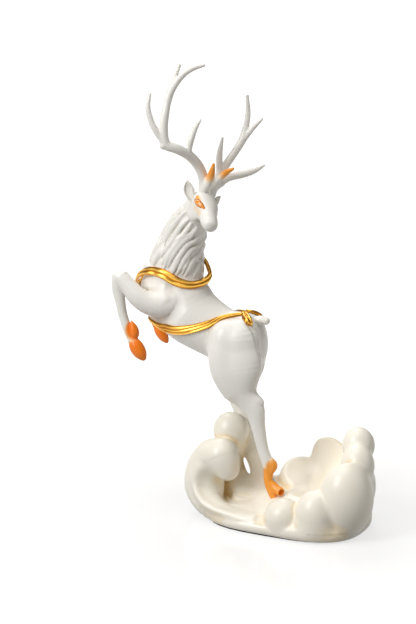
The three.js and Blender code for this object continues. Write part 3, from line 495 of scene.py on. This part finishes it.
TAIL = [(-45, 0, 186, 5, 5.5), (-38, 0, 191, 5.6, 4.8), (-30, 0, 194.2, 5, 4.2), (-24.5, 0, 193.5, 4, 3.6)]
TAIL_ROOT = [(-50, 0, 181, 6), (-44, 0, 186.5, 5), (-39, 0, 190, 4.2)]
TAIL_CREASE = [
    (-34.2, -17.4, 191.3), (-31.2, -17.2, 187.7), (-27.2, -17.7, 181.5), (-24.8, -17.3, 173.9),
    (-23.8, -14.8, 166.7),
]
SHOULDER_VALLEY = [
    (-111.9, -27.6, 223.4, 5), (-104, -31.5, 212.7, 7), (-109.7, -34.4, 197.7, 7), (-121.9, -29.4, 186.9, 5),
]
RUMP_PAD = [(-56.9, -17.1, 179.4, 14), (-50.5, -16.6, 177.4, 14), (-44.6, -16.2, 176.7, 14)]
THIGH_FRONT = [
    (-60.3, -21, 181.2, 8), (-60, -23.9, 168.6, 10), (-58.9, -25.6, 154.4, 10), (-56.1, -25.7, 141.3, 9),
    (-50.2, -24.1, 127.2, 7),
]
HOCK = [(-29, -20, 122, 5), (-23, -20, 120.5, 4.4), (-19, -20, 119.5, 2.2)]

# Strands of the mane: a thickness, then pairs of height and angle round the neck
MANE = [
    (3.6, (287, 98), (281, 87), (272, 84), (262, 78), (255, 70), (249, 62)),
    (3.6, (283, 118), (275, 111), (266, 102), (258, 93), (250, 82), (244, 76)),
    (3.6, (279, 142), (272, 133), (267, 117), (259, 106), (251, 99), (242, 95)),
    (3.6, (272, 163), (267, 150), (263, 131), (255, 121), (246, 112), (239, 108)),
    (3.6, (266, 182), (261, 163), (257, 144), (250, 134), (241, 126), (235, 119)),
    (3.4, (258, 181), (252, 170), (247, 155), (239, 145), (233, 138)),
    (3.2, (248, 199), (244, 176), (238, 166), (231, 158)),
    (3.6, (294, 71), (288, 60), (280, 56), (271, 54), (261, 52), (253, 54)),
    (3.6, (298, 42), (290, 40), (282, 38), (272, 40), (263, 43)),
    (3.2, (276, 137), (272, 122), (271, 104), (266, 92), (260, 84)),
    (3.2, (263, 96), (255, 92), (248, 88), (240, 85)),
    (3.2, (256, 123), (249, 117), (241, 112), (234, 107)),
    (3.2, (250, 145), (242, 137), (235, 131)),
    (3.6, (296, 20), (287, 14), (279, 20), (269, 16), (259, 22)),
    (3.6, (284, 0), (275, 6), (266, 0), (257, 6), (248, 2)),
    (3.4, (268, 30), (260, 34), (252, 30), (244, 36)),
    (3.4, (256, 12), (248, 18), (240, 14)),
    (3.4, (262, 60), (254, 58), (246, 52), (240, 50)),
]


def round_the_neck(wax, height, degrees):
    """Places on the skin at heights and angles, from the front of the neck towards its left side.

    Each is found by halving the room between two distances from the middle of the neck.
    """
    rows = np.array(NECK)
    middle = np.stack([np.interp(height, rows[:, 2], rows[:, 0]), 0 * height, height], 1)
    turn = np.radians(degrees)
    out = np.stack([-np.cos(turn), -np.sin(turn), 0 * turn], 1)
    near, far = np.full(len(height), 3.0), np.full(len(height), 45.0)
    for _ in range(20):
        half = (near + far) / 2
        outside = wax.depth((middle + half[:, None] * out).astype(np.float32)) > 0
        near, far = np.where(outside, near, half), np.where(outside, half, far)
    return middle + near[:, None] * out


def comb(wax):
    """Lays the strands of the mane on the skin: fat in the middle, fine at both ends, on both sides."""
    locks = []
    for radius, *line in MANE:
        line = np.array(line, float)
        for side in (1, -1):
            at = round_the_neck(wax, line[:, 0], side * line[:, 1])
            lift = unit(wax.slope(at, 0.3)[1])
            size = radius * np.interp(np.linspace(0, 1, len(at)), (0, 0.3, 0.75, 1), (0.5, 1, 0.9, 0.3))
            rows = np.hstack([at - 0.25 * size[:, None] * lift, size[:, None]])
            locks.append(Limb(rows.tolist(), lift.mean(0)))
    for lock in locks:
        wax.add(lock, 0.7)


def hooves(wax, forms):
    """Adds the lobes of one hoof, and cuts its open heel."""
    for kind, rows in forms:
        if kind == "heel":
            wax.cut(Limb(rows), 0.8)
        else:
            wax.add(Limb(rows), 1.2)


def deer_skin():
    """The trunk, neck and hind legs with the shoulders of the forelegs as one soft skin."""
    wax = Wax()
    wax.add(Limb(TRUNK, tip=DOME), 1)
    wax.add(Limb(NECK, tip=DOME), 5)
    wax.add(Limb(HIND_LEFT, tip=DOME), 4)
    wax.add(Limb(HIND_RIGHT, tip=DOME), 6)
    for rows in (FORE_LEFT, FORE_RIGHT):
        arm = [(*row[:3], row[3] - less, row[4] - less) for row, less in zip(rows, ARM_SLIMMER)]
        wax.add(Limb(arm, tip=DOME), 7)
    wax.add(Limb(TAIL_ROOT), 5)
    out = unit(wax.slope(np.array(TAIL_CREASE), 0.5)[1])
    wax.cut(Limb([(*p, 2.6) for p in TAIL_CREASE + 1.2 * out]), 3)
    wax.add(Limb(HOCK), 3)
    wax.cut(Limb(SHOULDER_VALLEY), 7)
    wax.add(Limb(THIGH_FRONT), 8)
    wax.add(Limb(RUMP_PAD), 6)
    comb(wax)
    hooves(wax, HIND_LEFT_HOOF)
    hooves(wax, HIND_RIGHT_HOOF)
    return wax


def unpainted(points):
    """No orange, or no hollow, anywhere."""
    return np.zeros(len(points))


def sprayed(points, *dots):
    """How much orange lies on each point: full within the inner radius of a dot, none past the outer."""
    most = np.zeros(len(points))
    for x, y, z, inner, outer in dots:
        share = ((outer - np.linalg.norm(points - (x, y, z), axis=1)) / (outer - inner)).clip(0, 1)
        most = np.maximum(most, share * share * (3 - 2 * share))
    return most


# Airbrushed dots: x, y, z, the radius that is full and the one where the orange ends
HIND_PAINT = ((-4, -20, 34, 14, 17), (-8, -18.5, 48, 9, 13), (-7, -17, 57, 6, 11), (-33, 18, 30, 14, 24))
FORELEGS = {
    "left": (FORE_LEFT, FORE_LEFT_HOOF, ((-144, -33, 157, 12, 16), (-147, -33, 179, 8, 13))),
    "right": (FORE_RIGHT, FORE_RIGHT_HOOF, ((-155, 32, 162, 13, 17), (-160, 32, 179, 8, 15))),
}

BODY_WAX = deer_skin()
points, faces, normals = BODY_WAX.cast(1.1)
# The hollow attribute is painted shade: it darkens the slots of the mane and the deer's other creases.
dress(put("deer_skin", points, faces, normals, airbrush=sprayed(points, *HIND_PAINT),
          hollow=1.5 * BODY_WAX.hollow(points, normals, 2.4)),
      AMBER, "statue", "deer_body")

for side, (rows, hoof, dots) in FORELEGS.items():
    wax = Wax().add(Limb(rows, tip=DOME), 1)
    hooves(wax, hoof)
    points, faces, normals = wax.cast(0.8)
    dress(put(f"foreleg_skin_{side}", points, faces, normals, airbrush=sprayed(points, *dots),
              hollow=unpainted(points)),
          WHITE, "statue", f"foreleg_{side}")

points, faces, normals = Wax().add(Limb(TAIL), 1).cast(0.6)
dress(put("tail_skin", points, faces, normals, airbrush=unpainted(points), hollow=unpainted(points)),
      WHITE, "statue", "tail")


# Head: places are millimetres forward, to the deer's right and up from the poll, and the rows of
# HEAD point those three ways

POLL = np.array([-90.5, -4, 308.5])
HEAD = np.array([[0.612, -0.683, -0.399], [-0.581, -0.730, 0.359], [0.536, -0.012, 0.844]])
HEAD = np.stack([unit(HEAD[0]), unit(HEAD[1] - HEAD[1] @ unit(HEAD[0]) * unit(HEAD[0])), HEAD[2]])
HEAD[2] = -np.cross(HEAD[0], HEAD[1])


def on_head(forward, right, up, *rest):
    """A place on the head in the frame's axes, with the row's sizes after it."""
    return (*(POLL + np.array([forward, right, up]) @ HEAD), *rest)


MUZZLE = [(10, 0, -2.5, 11, 10), (24, 0, -3, 9.6, 9), (32, 0, -4, 8.5, 8), (39, 0, -5, 8.1, 7.3),
          (43, 0, -5.6, 7, 6)]
EAR_OPEN = {"right": unit(HEAD[0] + 0.7 * HEAD[1]), "left": unit(HEAD[0] - 0.7 * HEAD[1])}
EARS = {"right": [(7.2, 10.5, -2.9), (0, 16.3, 2.4), (-6.2, 19.2, 8.2)],
        "left": [(5, -11, -1), (0.5, -15.8, 1.6), (-4.5, -19.2, 3.4)]}
EAR_TIP = {"right": 0.6, "left": 2}
EYE_LINE = [(13.6, 11, 0.6, 0.8), (18.4, 10, 1.1, 2.4), (23.6, 8.6, 1.8, 2.1), (28.4, 6.6, 2.1, 0.7)]
EYE_SINK = 1.0          # how deep the middle of an eye lies in the skin
EYE_GAP = 0.35          # the line left open round an eye
LIDS = ((12.6, 10.6, 3.6, 3.6), (16.5, 10.6, 3, 3.8), (20.5, 9.4, 1.4, 3.8), (25, 8, 1.6, 3.2))
BLUSH = ((22, 10, -3, 5.5), (27.5, 8.4, -4, 6))


def head_skin():
    """The skull, the cheeks, the tapered muzzle, the forehead and the nose as one soft skin."""
    wax = Wax()
    wax.add(Ball(on_head(7, 0, -1.5), (12, 11, 10.5), HEAD), 1)
    for s in (-1, 1):
        wax.add(Ball(on_head(12.5, 5.4 * s, -9), (12, 6.2, 11.5), HEAD), 4)
    wax.add(Limb([on_head(*row) for row in MUZZLE], HEAD[1]), 5)
    wax.add(Ball(on_head(17, 0, -0.5), (12, 11.6, 8), HEAD), 4)
    wax.add(Ball(on_head(44.5, 0.4, -3.2), (3.6, 5.8, 3.8), HEAD), 2)
    return wax


def add_ear(wax, side):
    """A leaf along the ear's line, and a smaller leaf cut out of its open face."""
    line = through([on_head(*p) for p in EARS[side]], 2)
    lean = np.cross(EAR_OPEN[side], line[-1] - line[0])
    sizes = [(3, 2.2), (5, 2.8), (5.4, 2.8), (3.8, 2.1), (EAR_TIP[side], 0.7)]
    wax.add(Limb([(*p, *size) for p, size in zip(line, sizes)], lean), 1.2)
    inner = [(*(p + EAR_OPEN[side] * 1.5), 0.72 * wide, 0.85 * deep) for p, (wide, deep) in zip(line, sizes)]
    wax.cut(Limb(inner, lean), 0.4)


HEAD_WAX = head_skin()
for side in EARS:
    add_ear(HEAD_WAX, side)

EYES = {}
for side, s, low in (("right", 1, 0), ("left", -1, 4.5)):
    line = HEAD_WAX.laid([on_head(f, s * r, u - low) for f, r, u, _ in EYE_LINE], -EYE_SINK)
    EYES[side] = [(*p, row[3]) for p, row in zip(line, EYE_LINE)]
for line in EYES.values():
    HEAD_WAX.cut(Limb([(*row[:3], row[3] + EYE_GAP) for row in line]), 0.5)

points, faces, normals = HEAD_WAX.cast(0.55)
lids = [on_head(f, s * r, u + 1.5 * s - 1.5, 0.5, reach) for s in (1, -1) for f, r, u, reach in LIDS]
blush = [on_head(f, s * r, u, 0.5, reach) for s in (1, -1) for f, r, u, reach in BLUSH]
paint = np.maximum(sprayed(points, *lids), 0.3 * sprayed(points, *blush))
# The hollow attribute is painted shade, greying the inside of the ears and the folds of the face.
dress(put("head_skin", points, faces, normals, airbrush=paint, hollow=HEAD_WAX.hollow(points, normals, 3)),
      AMBER, "statue", "deer_head")

for side, line in EYES.items():
    points, faces, normals = Wax().add(Limb(line), 1).cast(0.3)
    dress(put(f"eye_lens_{side}", points, faces, normals, rim=unpainted(points)),
          EYE, "statue", f"eye_{side}")


# Antlers: each branch is a line from the crown, the last one a brow tine, with the half thickness
# at its foot and at its tip

CROWN = {"right": on_head(3.4, 3.8, 7.2), "left": on_head(2.9, -6.2, 6.7)}
BRANCHES = {
    "right": [
        ([(0, 0, 0), (1, -1, 11), (-1.5, -5.5, 23.5), (-7, -15.5, 35), (-14, -25.5, 41.5), (-22.5, -31.5, 46),
          (-25, -31.5, 59.5), (-24.5, -29.5, 73), (-23.5, -25.5, 86.5), (-21, -21.5, 100.5),
          (-17, -15.5, 117.5)], 4.7, 1.8),
        ([(-23.5, -25.5, 86.5), (-19.5, -22.5, 97.5), (-12, -19.5, 108.5), (-3.5, -15.5, 115),
          (5.5, -9.5, 118)], 3, 1.4),
        ([(-22, -30.5, 45.5), (-29.5, -35.5, 56.5), (-35.5, -37.5, 69.5), (-38, -37.5, 80.5),
          (-37, -35.5, 92)], 2.9, 1.4),
        ([(-8, -16.5, 36.5), (-4.5, -15.5, 50.5), (-2.5, -11.5, 60), (1, -7.5, 67.5)], 3.1, 1.1),
        ([(2, -2, 2), (7.5, -3.5, 9), (11.5, -5.5, 17.5), (15, -8, 27)], 4, 1.3),
    ],
    "left": [
        ([(0, 0, 0), (0.5, 6.5, 9), (2, 15.5, 19.5), (9, 23.5, 33.5), (15.5, 29.5, 46.5),
          (19, 32.5, 59), (21.5, 33.5, 74.5), (21, 32.5, 91.5)], 3.9, 1.5),
        ([(14, 28.5, 43.5), (19, 31, 51), (26, 33.5, 60.5), (34, 37.5, 69.5)], 2.9, 1.4),
        ([(1.5, 14, 17.5), (1, 14, 35.5), (4.5, 13.5, 52.5)], 3.2, 1.1),
        ([(0.5, 4, 6), (8, 18.5, 14.5), (21, 27.5, 18), (29, 33.5, 21), (36, 39.5, 25.5)], 3.9, 1.1),
        ([(1, -1, 3), (6, 3, 14.5), (12, 6.5, 21), (18, 8.5, 24.5)], 3.3, 1.4),
    ],
}
KNOBS = {"right": (-24.5, -33.5, 44.5, 3.1), "left": (5, 11, 9.5, 2.8)}
TAPER = 3.4             # the power of the way along that a branch gets thinner by
TINE_COAT = (4, 7)      # distances from a brow tine's line where its orange starts to thin and ends

def along_tine(points, low, high):
    """How much orange lies on each point of an antler: it thins towards the tine's foot and off its line."""
    run = high - low
    share = ((points - low) @ run / (run @ run)).clip(0, 1)
    off = np.linalg.norm(points - low - share[:, None] * run, axis=1)
    full, none = TINE_COAT
    return ((none - off) / (none - full)).clip(0, 1) * ((share - 0.02) / 0.45).clip(0, 1)


for side, branches in BRANCHES.items():
    crown = np.array(CROWN[side])
    wax = Wax()
    for line, foot, tip in branches:
        thick = foot + (tip - foot) * (np.arange(len(line)) / (len(line) - 1)) ** TAPER
        wax.add(Limb(np.column_stack([crown + line, thick]).tolist(), (0.35, 1, 0)), 2)
    *knob, radius = KNOBS[side]
    wax.add(Ball(crown + knob, radius), 1.5)
    points, faces, normals = wax.cast(0.6)
    tine = branches[-1][0]
    paint = along_tine(points, crown + tine[1], crown + tine[-1])
    dress(put(f"antler_skin_{side}", points, faces, normals, airbrush=paint, hollow=unpainted(points)),
          AMBER, f"{side}_antler", f"antler_{side}")


# Cloud: puffs as centre and radii, and walls, rims and wisps as rows

FOOT_AT = 1.5           # the height of the underside, over the base pad
PUFFS = {
    "beside_hoof": [(13.6, -39.5, 15.8), (19, 17, 19.4)],
    "egg": [(45, -38, 22.5), (19.5, 18, 25)],
    "front_corner": [(69, -22, 39), (25.5, 26, 36)],
    "right_corner": [(72.5, -4, 66), (16, 15, 19.5)],
    "high_corner": [(66.5, 12.5, 80.5), (15.5, 15, 17.2)],
    "back_high": [(54, 31, 65), (19, 15, 24)],
    "back_middle": [(27, 34, 54), (21, 15, 25)],
    "back_low": [(3, 33, 27), (27, 15.5, 28)],
    "back_left": [(-25, 33, 13), (18, 13, 18)],
    "top": [(-61, 0, 82), (17.4, 17.2, 17.6)],
}
BOWL = [(36, 2, 70), (45, 38, 52)]
BOWL_END = [(6, 8, 62), (37, 29, 34)]
BOWL_WALL = [(34, 0, 42), (53, 45, 46)]
WELL = [(-58, -9, 42), (34, 31, 31)]
HIGH_WALL = [(74, -8, 50, 15, 8), (71, 8, 54, 16, 8), (63, 22, 56, 16, 8), (52, 31, 56, 14, 7)]
BRIDGE = [
    (2, -30, 16, 9, 13), (-2, -19, 16, 12, 15), (-16, 0, 15, 12, 17), (-31, 18, 14, 13, 17),
    (-40, 32, 8, 12, 14),
]
WELL_RIM = [(-86, -6, 42, 7, 12), (-80, 6, 36, 8, 16), (-70, 14, 29, 10, 16), (-58, 20, 22, 12, 14)]
WELL_FOOT = [(-84, -14, 18, 9, 11), (-79, -2, 17, 9, 11), (-71, 8, 15, 10, 11), (-54, 18, 13, 11, 10)]
WISP = [(-60, 4, 72, 10, 10), (-61, 10, 55, 7.5, 8), (-62, 15, 40, 10, 11), (-60, 19, 25, 17, 19)]
SLEEVE = [(-55, 17.5, 86, 6), (-50, 15.5, 70, 7), (-44, 14, 55, 8.5), (-39, 12, 40, 10), (-36, 8, 24, 14)]
SLEEVE_FOOT = [(-48, 10, 20), (22, 16, 16)]
SLIT = [(-40.2, -7.5, 50.3, 8.5, 1.9), (-60.8, 35.5, 35.3, 8.5, 1.9)]
SLIT_UP = (-0.371, 0.033, 0.929)
SCROLL = [
    (8, -40, 9, 6, 7), (-20, -41, 9, 7.5, 7), (-48, -37, 9, 9.5, 9), (-71, -27, 15, 14, 14),
    (-81.5, -17, 28, 19, 19.5), (-80, -17, 46, 18, 18.5), (-72, -20, 60, 16, 16),
]
SCROLL_HEAD = [(-59, -23, 63, 16.2), (-56, -24, 57, 14.5), (-53, -24.5, 51, 12)]
SCROLL_RIDGE = [
    (-78, -33, 50, 1.8), (-82, -34, 42.5, 1.8), (-82, -36, 35, 1.8), (-78, -40, 27, 1.8),
    (-70.3, -43, 20, 1.8), (-58, -46, 16, 1.8), (-41.5, -48, 14, 1.8), (-25, -48, 12.6, 1.8),
    (-14.5, -47, 14, 1.8),
]
SWIRL_AT = (-46, 2)
SWIRL = ((11, 15.5), (18, 13), (25, 12.2), (31, 13))        # radius and height of each ripple
RIPPLE = (0.4, 1.8, 2.4, 2.6, 2.4, 1.8, 0.4)                # half thickness along a ripple


def ripple(i, reach, height):
    """One ripple of the swirl: an arc round the well, a little longer than the last."""
    turn = np.radians(np.linspace(168 - 6 * i, 318 + 5 * i, len(RIPPLE)))
    x, y = SWIRL_AT
    line = np.stack([x + 1.15 * reach * np.cos(turn), y + reach * np.sin(turn), height + 0 * turn, RIPPLE], 1)
    return Limb(line.tolist(), (0, 0, 1))


def cloud_skin():
    """A foot and a hollowed wall, with puffs round the bowl, a scroll round the well and ripples in it."""
    wax = Wax()
    wax.add(Pebble((1, -3, FOOT_AT), (74.5, 50), 18, 3, 2), 1)
    wax.add(Pebble((33, -3, FOOT_AT), (44, 47.5), 36, 2.4, 3.5), 6)
    wall = Wax().add(Ball(*BOWL_WALL), 1).cut(Half((0, 0, 22), (0.55, 0.26, -0.8)), 4)
    wax.add(Joined(wall), 6)
    for name in ("front_corner", "back_high", "back_middle", "back_low", "back_left"):
        wax.add(Ball(*PUFFS[name]), 3.5)
    wax.cut(Ball(*BOWL), 5)
    wax.cut(Ball(*BOWL_END), 4)
    wax.cut(Ball(*WELL), 4)
    wax.add(Limb(BRIDGE, (0, 0, 1)), 6)
    wax.add(Limb(HIGH_WALL, (0, 0, 1)), 5)
    for name, soft in (("right_corner", 5.5), ("high_corner", 5), ("egg", 4.5), ("beside_hoof", 1.6)):
        wax.add(Ball(*PUFFS[name]), soft)
    for rows in (WELL_RIM, WELL_FOOT, WISP, SLEEVE):
        wax.add(Limb(rows), 6)
    wax.add(Ball(*SLEEVE_FOOT), 8)
    wax.cut(Limb(SLIT, SLIT_UP), 3)
    wax.add(Ball(*PUFFS["top"]), 1.6)
    scroll = Wax().add(Limb(SCROLL, (0, 1, 0.2)), 1).add(Limb(SCROLL_HEAD), 7).add(Limb(SCROLL_RIDGE), 9)
    wax.add(Joined(scroll), 2.5)
    for i, (reach, height) in enumerate(SWIRL):
        wax.add(ripple(i, reach, height), 5)
    wax.cut(Half((0, 0, FOOT_AT), (0, 0, 1)), 0.5)
    return wax


CLOUD_WAX = cloud_skin()
points, faces, normals = CLOUD_WAX.cast(1.1)
# The hollow attribute is painted shade, a warm cream in the well, the bowl and between the puffs.
dress(put("cloud_skin", points, faces, normals, airbrush=unpainted(points),
          hollow=0.8 * CLOUD_WAX.hollow(points, normals, 9)),
      IVORY, "statue", "cloud_base")


# Ribbons: long strips of resin modelled over the deer, with ridges drawn along them, then gilded.
# Rows of x, y, z and half width, before they are laid on the skin

NECK_RIBBON = [
    (-163, 0, 216, 2.8), (-160, -7, 224, 3), (-152, -14.5, 230.8, 3.3), (-141, -20.3, 235.4, 3.9),
    (-131, -21.5, 235.6, 4.6), (-121.4, -23, 233.8, 5), (-113, -22.5, 229.9, 4.9), (-104.7, -20, 226.3, 4.4),
    (-96.2, -14, 224.6, 3.9), (-91, -4, 225.4, 3.6), (-88.8, 4, 228, 3.5), (-88.8, 8.5, 231.5, 3.3),
    (-92, 12, 236, 3), (-97, 16, 241.5, 2.8), (-105, 20.5, 245.5, 2.6), (-116, 24, 246, 2.6),
    (-128, 24, 243, 2.6), (-141, 21, 238, 2.6), (-152, 14.5, 230.8, 2.6), (-160, 7, 224, 2.6),
    (-163, 0, 216, 2.8),
]
TRUNK_RIBBON = [
    (-148, 0, 186, 2.4), (-146, -10, 186, 2.8), (-134, -18, 183, 3.8), (-126, -21, 181.8, 4.4),
    (-118.4, -22.9, 181.5, 4.9), (-103.1, -26.1, 182, 4.7), (-88.1, -25.3, 185.2, 4.2),
    (-76.4, -22.1, 189.2, 3.8), (-66.1, -16.2, 194, 3.4), (-57.2, -11.1, 197, 3), (-50, -7, 198.8, 2.4),
    (-44.5, -5, 199, 1.8),
]
ROLLED_END = [
    (-48, -4.5, 199.6, 1.8), (-44, -6.5, 199.6, 3), (-41, -9.5, 198, 4.2), (-38.8, -12.6, 194.6, 4.6),
    (-38, -14.6, 190.4, 4), (-38.6, -15.4, 187.4, 2.4),
]
PER_SPAN = 12           # places on a ribbon from one row to the next
LAPPED = 3              # rows of a closed ribbon that are gone over twice, to close it without a kink
AROUND = 44             # points round a ribbon's section
ROUNDED = 8             # places over which an open end is rounded off


def ribbon(name, rows, lift, thick, ridges, solid, closed=False):
    """A strip carried along a line on the deer: a lens section whose outer face has even ridges.

    The section at each place spans the line's half width across, and at the share s of it the outer
    face stands out by thick (1 - s^2)^0.35 (0.775 + 0.225 cos(pi (ridges s + ridges - 1))), and the
    inner face goes in by 0.7 thick (1 - s^2)^0.35. Both get less with the root of the half width.
    """
    if closed:
        rows = [*rows[-LAPPED - 1:-1], *rows, *rows[1:LAPPED + 1]]
    path = through(rows, PER_SPAN)
    at, half = path[:, :3], path[:, 3]
    depth = BODY_WAX.depth(at.astype(np.float32))
    out = unit(BODY_WAX.slope(at, 1.5)[1])
    for _ in range(12):
        out[1:-1] = unit(out[:-2] + out[1:-1] + out[2:])
    push = (lift - depth).clip(0) if closed else lift - depth
    for _ in range(10):
        push[1:-1] = (push[:-2] + 2 * push[1:-1] + push[2:]) / 4
    at = at + push[:, None] * out
    if closed:
        once = slice(LAPPED * PER_SPAN, -LAPPED * PER_SPAN)
        at, half, out = at[once], half[once], out[once]
    across = unit(np.cross(out, np.gradient(at, axis=0)))
    turn = np.linspace(0, 2 * np.pi, AROUND, endpoint=False)
    s = np.cos(turn)
    top = np.abs(np.sin(turn)) ** 0.7
    wave = 0.5 + 0.5 * np.cos(np.pi * (ridges * s + ridges - 1))
    outer = np.sin(turn) > 0
    rise = np.where(outer, top * (0.55 + 0.45 * wave), -0.7 * top)
    taper = (half / half.max()).clip(0.2) ** 0.5
    if not closed:
        ends = np.minimum(np.arange(len(at)), np.arange(len(at))[::-1]) / ROUNDED
        half = half * np.sqrt(1 - (1 - ends.clip(0, 1)) ** 2).clip(0.02)
    points = (at[:, None] + (half[:, None] * s)[..., None] * across[:, None]
              + (thick * taper[:, None] * rise)[..., None] * out[:, None])
    n, m = points.shape[:2]
    i, k = np.meshgrid(np.arange(n - 1), np.arange(m), indexing="ij")
    beside = (k + 1) % m
    quads = np.stack([i * m + k, i * m + beside, (i + 1) * m + beside, (i + 1) * m + k], -1).reshape(-1, 4)
    points = points.reshape(-1, 3)
    # Painted shade for the gilding: full in the grooves of the outer face, 0.6 on the inner face against the
    # deer, and half at the tips.
    fold = np.tile(np.where(outer, 1 - wave, 0.6), n)
    if closed:
        points = points[:-m]
        quads = quads % len(points)
        fold = fold[:-m]
    else:
        rings = [np.arange(m)[::-1], (n - 1) * m + np.arange(m)]
        points = np.vstack([points, at[:1], at[-1:]])
        fold = np.append(fold, [0.5, 0.5])
        for tip, ring in enumerate(rings, n * m):
            tips = np.full(m, tip)
            quads = np.vstack([quads, np.stack([ring, np.roll(ring, -1), tips, tips], 1)])
    faces = np.vstack([quads[:, [0, 1, 2]], quads[:, [0, 2, 3]]])
    faces = faces[(faces[:, 1] != faces[:, 2]) & (faces[:, 0] != faces[:, 2])]
    dress(put(name, points, faces, fold=fold), GOLD, "statue", solid)


ribbon("neck_sash", NECK_RIBBON, 0.9, 3, 2, "neck_ribbon", closed=True)
for side, name in ((1, "left"), (-1, "right")):
    band, end = ([(x, side * y, z, wide) for x, y, z, wide in rows] for rows in (TRUNK_RIBBON, ROLLED_END))
    ribbon(f"trunk_sash_{name}", band, 0.7, 2.4, 3, "body_ribbon")
    ribbon(f"rolled_end_{name}", end, 1.6, 2.6, 2, "body_ribbon")


# The solids that show as they are get their finish

for name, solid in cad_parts.items():
    if name.startswith(("base_pad", "leg_rod", "washer", "nut", "antler_pin")):
        solid.data.materials.clear()
        solid.data.materials.append(RUBBER if name == "base_pad" else STEEL)


# Studio: metres from here on

AZIMUTH, ELEVATION, DISTANCE = math.radians(27), math.radians(12), 1.5
AIM = np.array([-0.068, -0.036, 0.205])
LENS = 92.3
FLOOR_SIDE = 60
FLOOR_GLOW = (0.7, 0.98)        # the floor's brightness under the statue, and from 0.45 m away


def turned(back):
    """The axes of something that looks along minus back with level sides, as columns."""
    right = unit(np.cross((0, 0, 1), back))
    return Matrix(np.stack([right, np.cross(back, right), back], 1).tolist())


def lamp(name, at, size, power):
    """A soft square lamp that looks at the middle of the statue."""
    light = bpy.data.lights.new(name, "AREA")
    light.shape = "RECTANGLE"
    light.size, light.size_y = size
    light.energy = power
    made = bpy.data.objects.new(name, light)
    made.location = at
    made.rotation_euler = turned(unit(at - AIM)).to_euler()
    bpy.context.scene.collection.objects.link(made)


level = math.cos(ELEVATION)
back = np.array([math.sin(AZIMUTH) * level, -math.cos(AZIMUTH) * level, math.sin(ELEVATION)])
right = np.array([math.cos(AZIMUTH), math.sin(AZIMUTH), 0])
up = np.array([0, 0, 1])
camera = bpy.data.cameras.new("camera")
camera.lens = LENS
camera.clip_end = 100
tripod = bpy.data.objects.new("camera", camera)
tripod.matrix_world = Matrix.Translation(AIM + DISTANCE * back) @ turned(back).to_4x4()
bpy.context.scene.collection.objects.link(tripod)
bpy.context.scene.camera = tripod

lamp("key_softbox", AIM - 2.1 * right + 1.4 * back + 1.35 * up, (1.1, 1.5), 60)
lamp("side_softbox", AIM + 1.3 * right + 0.45 * back + 0.35 * up, (0.8, 1.0), 3.4)
lamp("front_softbox", AIM - 0.3 * right + 1.5 * back + 0.1 * up, (0.9, 0.9), 1.0)
lamp("back_softbox", AIM - 0.2 * right - 1.4 * back + 1.8 * up, (1.0, 1.0), 14)
lamp("top_softbox", AIM + np.array([-0.15, -0.5, 2.3]), (1.6, 1.6), 24)


# Gloss-painted board with a glow of its own that camera and mirror rays see, so that it reads white; the
# glow is weaker near the statue, which paints a faint shade round it. The board keeps a soft reflection
# of whatever stands on it.
def studio_board():
    made, tree, out = material("studio_floor")
    paths = node(tree, "ShaderNodeLightPath").outputs
    place = node(tree, "ShaderNodeTexCoord").outputs["Object"]
    away = node(tree, "ShaderNodeVectorMath", {"operation": "LENGTH"}, _0=place).outputs["Value"]
    # The board's own glow, weaker near the statue: painted shade round its foot.
    glow = node(tree, "ShaderNodeMapRange", Value=away, From_Min=0.12, From_Max=0.45,
                To_Min=FLOOR_GLOW[0], To_Max=FLOOR_GLOW[1]).outputs["Result"]
    board = node(tree, "ShaderNodeBsdfPrincipled", Base_Color=linear("#909090"), Roughness=0.12)
    lift = node(tree, "ShaderNodeEmission", Strength=glow)
    none = node(tree, "ShaderNodeEmission", Strength=0.0)
    direct = node(tree, "ShaderNodeMath", {"operation": "MAXIMUM"},
                  _0=paths["Is Camera Ray"], _1=paths["Is Glossy Ray"])
    seen = node(tree, "ShaderNodeMixShader", _0=direct.outputs[0], _1=none.outputs[0], _2=lift.outputs[0])
    both = node(tree, "ShaderNodeAddShader", _0=board.outputs[0], _1=seen.outputs[0])
    tree.links.new(both.outputs[0], out.inputs[0])
    return made


corners = np.array([[-1, -1, 0], [1, -1, 0], [1, 1, 0], [-1, 1, 0]]) * FLOOR_SIDE / MM
floor = put("studio_floor", corners, np.array([[0, 1, 2, 3]]))
floor.data.materials.append(studio_board())

world = bpy.data.worlds.new("studio")
bpy.context.scene.world = world
world.use_nodes = True
tree = world.node_tree
tree.nodes.clear()
paths = node(tree, "ShaderNodeLightPath").outputs
mirrored = node(tree, "ShaderNodeMath", {"operation": "MAXIMUM"},
                _0=paths["Is Glossy Ray"], _1=paths["Is Transmission Ray"])
soft = node(tree, "ShaderNodeBackground", Color=linear("#E2D8BC"), Strength=0.1)
grey = node(tree, "ShaderNodeBackground", Color=linear("#F2ECDC"), Strength=0.28)
white = node(tree, "ShaderNodeBackground", Color=linear("#FFFFFF"), Strength=1.0)
gloss = node(tree, "ShaderNodeMixShader", _0=mirrored.outputs[0], _1=soft.outputs[0], _2=grey.outputs[0])
which = node(tree, "ShaderNodeMixShader", _0=paths["Is Camera Ray"], _1=gloss.outputs[0], _2=white.outputs[0])
tree.links.new(which.outputs[0], tree.nodes.new("ShaderNodeOutputWorld").inputs[0])

bpy.context.scene.view_settings.view_transform = "Standard"
